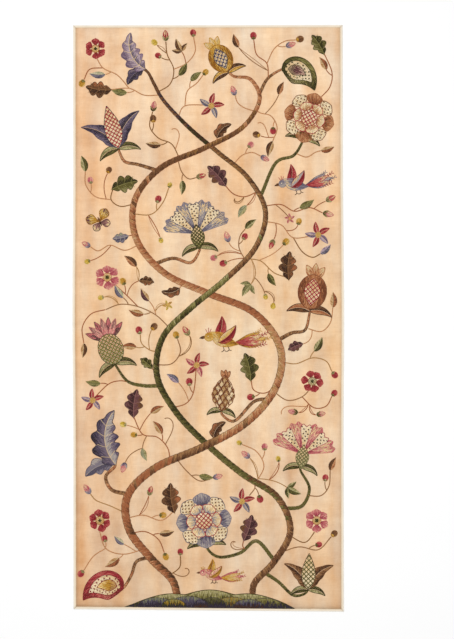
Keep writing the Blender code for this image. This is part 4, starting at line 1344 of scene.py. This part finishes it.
def make_cloth():
    """The ground cloth: its face a fine grid, its back flat except where the tape lifts its edge."""
    across, up = graded(PANEL_WIDTH, CLOTH_COLUMNS), graded(PANEL_HEIGHT, CLOTH_ROWS)
    v, u = (axis.ravel() for axis in np.meshgrid(up, across, indexing="ij"))
    face = panel_point(u, v, CLOTH_INSET)
    index = np.arange(len(up) * len(across)).reshape(len(up), len(across))
    loop = np.concatenate([index[0, :-1], index[:-1, -1], index[-1, :0:-1], index[:0:-1, 0]])
    edge = np.column_stack([face[loop], np.full(len(loop), EDGE_LIFT)])
    inner = np.column_stack([panel_point(u[loop], v[loop], SETTLED_AT), np.zeros(len(loop))])
    squares = index[:-1, :-1], index[:-1, 1:], index[1:, 1:], index[1:, :-1]
    faces = np.column_stack([corner.ravel() for corner in squares]).tolist()
    around = np.arange(len(loop))
    after = np.roll(around, -1)
    low, under = len(face), len(face) + len(loop)
    faces += np.column_stack([loop[after], loop[around], low + around, low + after]).tolist()
    faces += np.column_stack([low + after, low + around, under + around, under + after]).tolist()
    faces.append((under + around[::-1]).tolist())
    points = np.vstack([np.column_stack([face, cloth_top(*face.T)]), edge, inner])
    cloth = add_piece("cloth", points, faces, cloth_finish())
    insets = {"left": u * PANEL_WIDTH, "right": (1 - u) * PANEL_WIDTH,
              "bottom": v * PANEL_HEIGHT, "top": (1 - v) * PANEL_HEIGHT}
    # Painted shade beside the tape, kept in the cloth's edge attribute
    shade = np.ones(len(points))
    for side, strength, reach in EDGE_PAINTED_SHADES:
        share = np.clip((reach - insets[side] - CLOTH_INSET) / (reach - TAPE_WIDTH), 0, 1)
        shade[:len(u)] *= 1 - strength * share
    lay_values(cloth.data, "edge", "FLOAT", "value", shade)
    flat_map(cloth.data)
    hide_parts("ground_cloth")
    return cloth


def tape_section():
    """Inset and height around the folded tape: round the fold, in to the upper lip, and back inside."""
    middle, top = BOUND_HEIGHT / 2, BOUND_HEIGHT
    turns = np.radians(np.linspace(-90, 90, 7))
    fold, back = ([(middle - radius * math.cos(a), middle + radius * math.sin(a)) for a in angles]
                  for radius, angles in ((middle, turns), (middle - TAPE_THICK, turns[::-1])))
    upper = [(0.0045, top + 0.0001), (0.0066, top), (SEAM_INSET, top - SEAM_DIP), (0.0082, top),
             (LIP_EDGE, top - 0.0001), (TAPE_WIDTH, top - TAPE_THICK / 2), (LIP_EDGE, top - TAPE_THICK)]
    lower = [(LIP_EDGE, TAPE_THICK), (TAPE_WIDTH, TAPE_THICK / 2), (LIP_EDGE, 0.0)]
    return fold + upper + back + lower


SIDES = [
    # side, start, end as shares of width and height
    ("bottom", (0, 0), (1, 0)),
    ("right", (1, 0), (1, 1)),
    ("top", (1, 1), (0, 1)),
    ("left", (0, 1), (0, 0)),
]


def side_line(start, end, inset, trim, count):
    """Points along one side of the panel, inset from its edge and trimmed at both corners."""
    start, step = np.array(start, float), np.subtract(end, start).astype(float)
    size = np.array([PANEL_WIDTH, PANEL_HEIGHT])
    length = np.abs(step * size).sum()
    t = np.linspace(trim / length, 1 - trim / length, count)[:, None]
    share = start + step * t + np.array([-step[1], step[0]]) * inset / size
    return panel_point(share[:, 0], share[:, 1])


def make_binding(side, start, end):
    """A strip of tape folded over one edge, its lip a little wavy, mitred at the corners."""
    upright = side in ("left", "right")
    count, length = (LONG_TAPE_RINGS, PANEL_HEIGHT) if upright else (SHORT_TAPE_RINGS, PANEL_WIDTH)
    phases = RNG.uniform(0, 6, 3)
    t = np.linspace(0, 1, count)
    wave = sum(LIP_WAVE_HEIGHT * np.sin(2 * math.pi * t * length * f + p) for f, p in zip(LIP_WAVES, phases))
    section = tape_section()
    rings = []
    for inset, height in section:
        path = side_line(start, end, inset, inset + MITRE_GAP, count)
        ease = np.clip(inset / TAPE_WIDTH, 0, 1) ** 2 * np.minimum(1, np.minimum(t, 1 - t) * CORNER_EASE)
        path = path + asides(path) * (wave * ease)[:, None]
        rings.append(np.column_stack([path, np.full(count, height)]))
    around = len(section)
    faces = [list(range(around)), list(range((count - 1) * around, count * around))[::-1]]
    for i in range(count - 1):
        for j in range(around):
            a, b = i * around + j, i * around + (j + 1) % around
            faces.append([a, a + around, b + around, b])
    strip = add_piece("tape_" + side, np.stack(rings, axis=1).reshape(-1, 3), faces, TAPE)
    shares = [inset / TAPE_WIDTH for inset, _ in section]
    lay_values(strip.data, "edge", "FLOAT", "value", np.tile(shares, count))
    flat_map(strip.data)
    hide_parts("binding_" + side)
    return strip


def make_seam():
    """Small stitches that hold the tape down, just inside its upper lip."""
    rows = []
    for _, start, end in SIDES:
        path = side_line(start, end, SEAM_INSET, TAPE_WIDTH, SEAM_POINTS)
        along = distances(path)
        first = np.arange(SEAM_START, along[-1] - SEAM_END, SEAM_PITCH)
        ends = np.hstack([between(places, along, path) for places in (first, first + SEAM_STITCH)])
        rows.append(stitched(ends, THREAD_TONE, width=THREAD_WIDTH))
    rows = np.vstack(rows)
    rows[:, LIFT] = BOUND_HEIGHT - SEAM_DIP - cloth_top(*middles(rows).T)
    return wool_piece("seam_stitches", rows, "tape")


# Wool work


def work_stems(blossoms):
    """The trunk and the vine in stretches between their crossings, each with the stalks that grow from it.
    Gives back the stems' middle lines."""
    fine = {name: smooth_path(metres(route), FINE_SPACING) for name, route in STEMS.items()}
    for name, other, slot in (("trunk", "vine", "wool_rust"), ("vine", "trunk", "wool_moss")):
        heights = [y / 1000 for _, under, y in CROSSINGS if under == name]
        pieces, covers = stretches(fine[name], fine[other], heights)
        for k, stretch in enumerate(pieces, 1):
            rows = []
            for parent, route in BRANCHES:
                route = metres(route)
                far = np.linalg.norm(stretch[:, :2] - route[0, :2], axis=1).min()
                if parent == name and far < route[0, 2]:
                    work = stem(smooth_path(route, FINE_SPACING), STALK_TONES[name], STALK_BLOCK)
                    rows.append(trimmed(work, [ribbon(stretch)]))
            rows.append(placed(stem(stretch, STEM_TONES[f"{name}_{k}"], STEM_BLOCK), lift=STEM_LIFT))
            rows = trimmed(np.vstack(rows), near(rows[-1], covers + blossoms))
            wool_piece(f"{name}_{k}_stitches", rows, slot, f"{name}_{k}")
    return list(fine.values())


def grown(word, place, heading):
    """One growth of a tendril, standing on a place and pointing along a heading."""
    kind, length, pairs = GROWTHS[word]
    turn = math.degrees(heading) - 90 + RNG.normal(0, 6)
    length = length / 1000 * RNG.uniform(0.9, 1.1)
    rows, _ = work_motif(kind, *place, turn, length, RNG.random() < 0.5, RNG.choice(pairs))
    return placed(rows, lift=GROWTH_LIFT)


def twined(path, tone, width):
    """Two lines of stem stitch side by side, one a little darker."""
    aside = asides(path) * width * 0.42
    rows = [line(path + offset, MILLIMETRE, tone, width, lift=0.0, step=4.4, lean=0.3)
            for offset in (aside, -aside)]
    rows[0][:, COLOUR] *= TWIN_SHADE
    return np.vstack(rows)


def fine_tone():
    return RNG.choice(("rust", "rust+", "tan-", "rust", "brown+", "tan", "rust+"))


def walked(start, headings, step):
    """A path of even steps from its start, each along its own heading."""
    steps = step * np.column_stack([np.cos(headings), np.sin(headings)])
    return np.vstack([start, start + np.cumsum(steps, axis=0)])


def tendril(side, growths, path):
    """A fine stem with a shoot for each growth but the last, which stands on its tip."""
    *growths, tip = growths.split()
    along = distances(path)
    tone = fine_tone()
    rows = [twined(path, tone, TENDRIL_WIDTH)]
    for k, word in enumerate(growths, 1):
        at = np.searchsorted(along, along[-1] * k / (len(growths) + 1))
        turn = side * (-1) ** k * -math.radians(SHOOT_TURN)
        headings = heading_at(path, at) + turn * np.linspace(1, 0.45, SHOOT_STEPS)
        shoot = walked(path[at], headings, SHOOT_LENGTH / SHOOT_STEPS * RNG.uniform(0.7, 1.2))
        rows.append(twined(shoot, tone, SHOOT_WIDTH))
        rows.append(grown(word, shoot[-1], headings[-1]))
    if tip != "none":
        rows.append(grown(tip, path[-1], heading_at(path, len(path) - 1)))
    return np.vstack(rows)


def rooted(route, stems):
    """A tendril's places, from the middle line of the stem beside which it starts."""
    places = np.vstack([stem[:, :2] for stem in stems])
    far = np.linalg.norm(places - route[0], axis=1)
    if far.min() > ROOT_REACH:
        return route
    root = places[far.argmin()]
    return np.vstack([root] + [place for place in route if math.dist(place, root) > ROOT_REACH / 3])


def work_tendrils(stems, covers):
    """The tendrils of the table; gives back the middle lines of all the stems."""
    for k, (side, growths, route) in enumerate(TENDRILS, 1):
        route = rooted(metres(route), stems[:2])
        path = smooth_path(np.column_stack([route, np.zeros(len(route))]), FINE_SPACING)
        rows = tendril(side, growths, path[:, :2])
        wool_piece(f"tendril_{k:02d}_stitches", trimmed(rows, near(rows, covers)), "wool_brown")
        stems = stems + [path]
    return stems


# Sprigs: short curling shoots that fill the cloth left open between the tendrils
CELL = 0.006
CELLS = (154, 334)
ROOM_COUNTED = 9
EDGE_CELLS = 3
SPRIG_COUNT = 48
SPRIG_TRIES = 300
SPRIG_STEP = 0.003
SPRIG_WIDTH = 0.0017
SPRIG_LENGTHS = (0.045, 0.13)
SPRIG_TURNS = (35, 70)
SPRIG_CURLS = (-2.2, 1.6)
BARE_TIP_CURL = 3.2
SPRIG_ROOT_STEPS = 7
SPRIG_ROOM = 2
LENGTH_WORTH = 12
LOOP_CHANCE = 0.4
LOOP_WIDTHS = (0.005, 0.009)
SPRIG_WORDS = "leaf pale berry bud lobed yellow pip brown leaf spray blue pale bud lobed none".split()


def cell_of(points):
    cells = (points + (PANEL_WIDTH / 2, PANEL_HEIGHT / 2)) / CELL
    return tuple(np.clip(cells, 0, np.array(CELLS) - 1).astype(int).T)


def room_left(taken):
    """How many cells lie between each cell of the panel and the nearest stitch, up to ROOM_COUNTED."""
    room, near_by = np.zeros(taken.shape, int), taken
    for count in range(1, ROOM_COUNTED + 1):
        room[~near_by] = count
        wider = near_by.copy()
        for axis in (0, 1):
            for step in (1, -1):
                wider |= np.roll(near_by if count % 2 else wider, step, axis=axis)
        near_by = wider
    return room


def sprig_path(stems, room):
    """A curling path that leaves one of the stems; also its word and how much open cloth it finds, or 0."""
    stem = stems[RNG.integers(len(stems))]
    at = RNG.integers(len(stem))
    word = RNG.choice(SPRIG_WORDS)
    length = RNG.uniform(*SPRIG_LENGTHS)
    share = np.arange(SPRIG_STEP, length, SPRIG_STEP) / length
    side = RNG.choice((-1, 1))
    heading = heading_at(stem[:, :2], at) + side * math.radians(RNG.uniform(*SPRIG_TURNS))
    curl = RNG.uniform(*SPRIG_CURLS) * share ** 1.4 - (word == "none") * BARE_TIP_CURL * share ** 3
    headings = heading + side * curl
    path = walked(stem[at, :2], headings, SPRIG_STEP)
    needed = 0 if word == "none" else GROWTHS[word][1] / 1000 / 2
    tip = walked(path[-1], headings[-1:], needed)[1:]
    found = room[cell_of(tip)][0]
    open_way = room[cell_of(path[SPRIG_ROOT_STEPS:])].min() >= SPRIG_ROOM and found >= needed / CELL + 1
    return path, word, found + LENGTH_WORTH * length if open_way else 0


def work_sprigs(stems, covers):
    """Each sprig is the best of many tries; some have a second line beside them, like a long loop."""
    taken = np.zeros(CELLS, bool)
    taken[:EDGE_CELLS] = taken[-EDGE_CELLS:] = taken[:, :EDGE_CELLS] = taken[:, -EDGE_CELLS:] = True
    taken[cell_of(np.vstack(WORKED))] = True
    for k in range(1, SPRIG_COUNT + 1):
        room = room_left(taken)
        tries = [sprig_path(stems, room) for _ in range(SPRIG_TRIES)]
        path, word, found = max(tries, key=lambda each: each[2])
        if not found:
            continue
        tone = fine_tone()
        rows = [twined(path, tone, SPRIG_WIDTH)]
        if RNG.random() < LOOP_CHANCE:
            apart = np.sin(np.linspace(0, math.pi, len(path)))[:, None]
            apart = apart * RNG.uniform(*LOOP_WIDTHS) * RNG.choice((-1, 1))
            rows.append(line(path + asides(path) * apart, MILLIMETRE, tone, SHOOT_WIDTH, lift=0.0, step=4.4))
        if word != "none":
            rows.append(grown(word, path[-1], heading_at(path, len(path) - 1)))
        rows = np.vstack(rows)
        wool_piece(f"sprig_{k:02d}_stitches", trimmed(rows, near(rows, covers)), "wool_brown")
        taken[cell_of(middles(rows))] = True
        stems = stems + [path]


# Stage, with the camera straight above, framed as the photograph is
WORLD_LIGHT = 0.62
LAMPS = [
    # name, place, size, power
    ("key", (-1.3, 1.1, 4.6), 2.0, 90),
    ("fill", (1.8, -1.2, 4.8), 2.5, 44),
]
VIEW_HEIGHT = 2.1815
VIEW_MIDDLE = (0.0638, -0.004)
VIEW_END = 60
LENS = 100.0
SENSOR = 36.0
FLOOR_SIZE = 24
FLOOR_HEIGHT = -0.0004


def add_holder(name, data, place):
    """An object that holds a lamp or a camera."""
    holder = bpy.data.objects.new(name, data)
    holder.location = place
    bpy.context.scene.collection.objects.link(holder)
    return holder


def make_camera():
    camera = bpy.data.cameras.new("camera")
    camera.lens = LENS
    camera.sensor_width = SENSOR
    camera.clip_end = VIEW_END
    bpy.context.scene.camera = add_holder("camera", camera, (*VIEW_MIDDLE, VIEW_HEIGHT * LENS / SENSOR))


def make_stage():
    bpy.ops.mesh.primitive_plane_add(size=FLOOR_SIZE, location=(0, 0, FLOOR_HEIGHT))
    floor = bpy.context.object
    floor.name = "studio_floor"
    floor.data.materials.append(floor_finish())
    world = bpy.data.worlds.new("studio")
    world.use_nodes = True
    background = world.node_tree.nodes["Background"]
    background.inputs["Color"].default_value = (1, 1, 1, 1)
    background.inputs["Strength"].default_value = WORLD_LIGHT
    bpy.context.scene.world = world
    for name, place, size, power in LAMPS:
        lamp = bpy.data.lights.new(name, "AREA")
        lamp.shape = "DISK"
        lamp.size = size
        lamp.energy = power
        holder = add_holder(name, lamp, place)
        holder.rotation_euler = (-holder.location).to_track_quat("-Z", "Y").to_euler()
    bpy.context.scene.view_settings.view_transform = "Standard"


make_camera()
make_stage()
WOOL = wool_finish()
TAPE = tape_finish()
cloth = make_cloth()
tapes = [make_binding(*side) for side in SIDES]
seam = make_seam()
blossoms = []
for node, x, y, turn, size, wools, *mirrored in MOTIFS:
    kind = node.split("_")[0]
    rows, shapes = work_motif(kind, x / 1000, y / 1000, turn, size / 1000, bool(mirrored), wools)
    blossoms += shapes
    wool_piece(node + "_stitches", rows, "wool_" + wools.split()[0], node)
stems = work_stems(blossoms)
covers = blossoms + [ribbon(path) for path in stems]
work_sprigs(work_tendrils(stems, covers), covers)
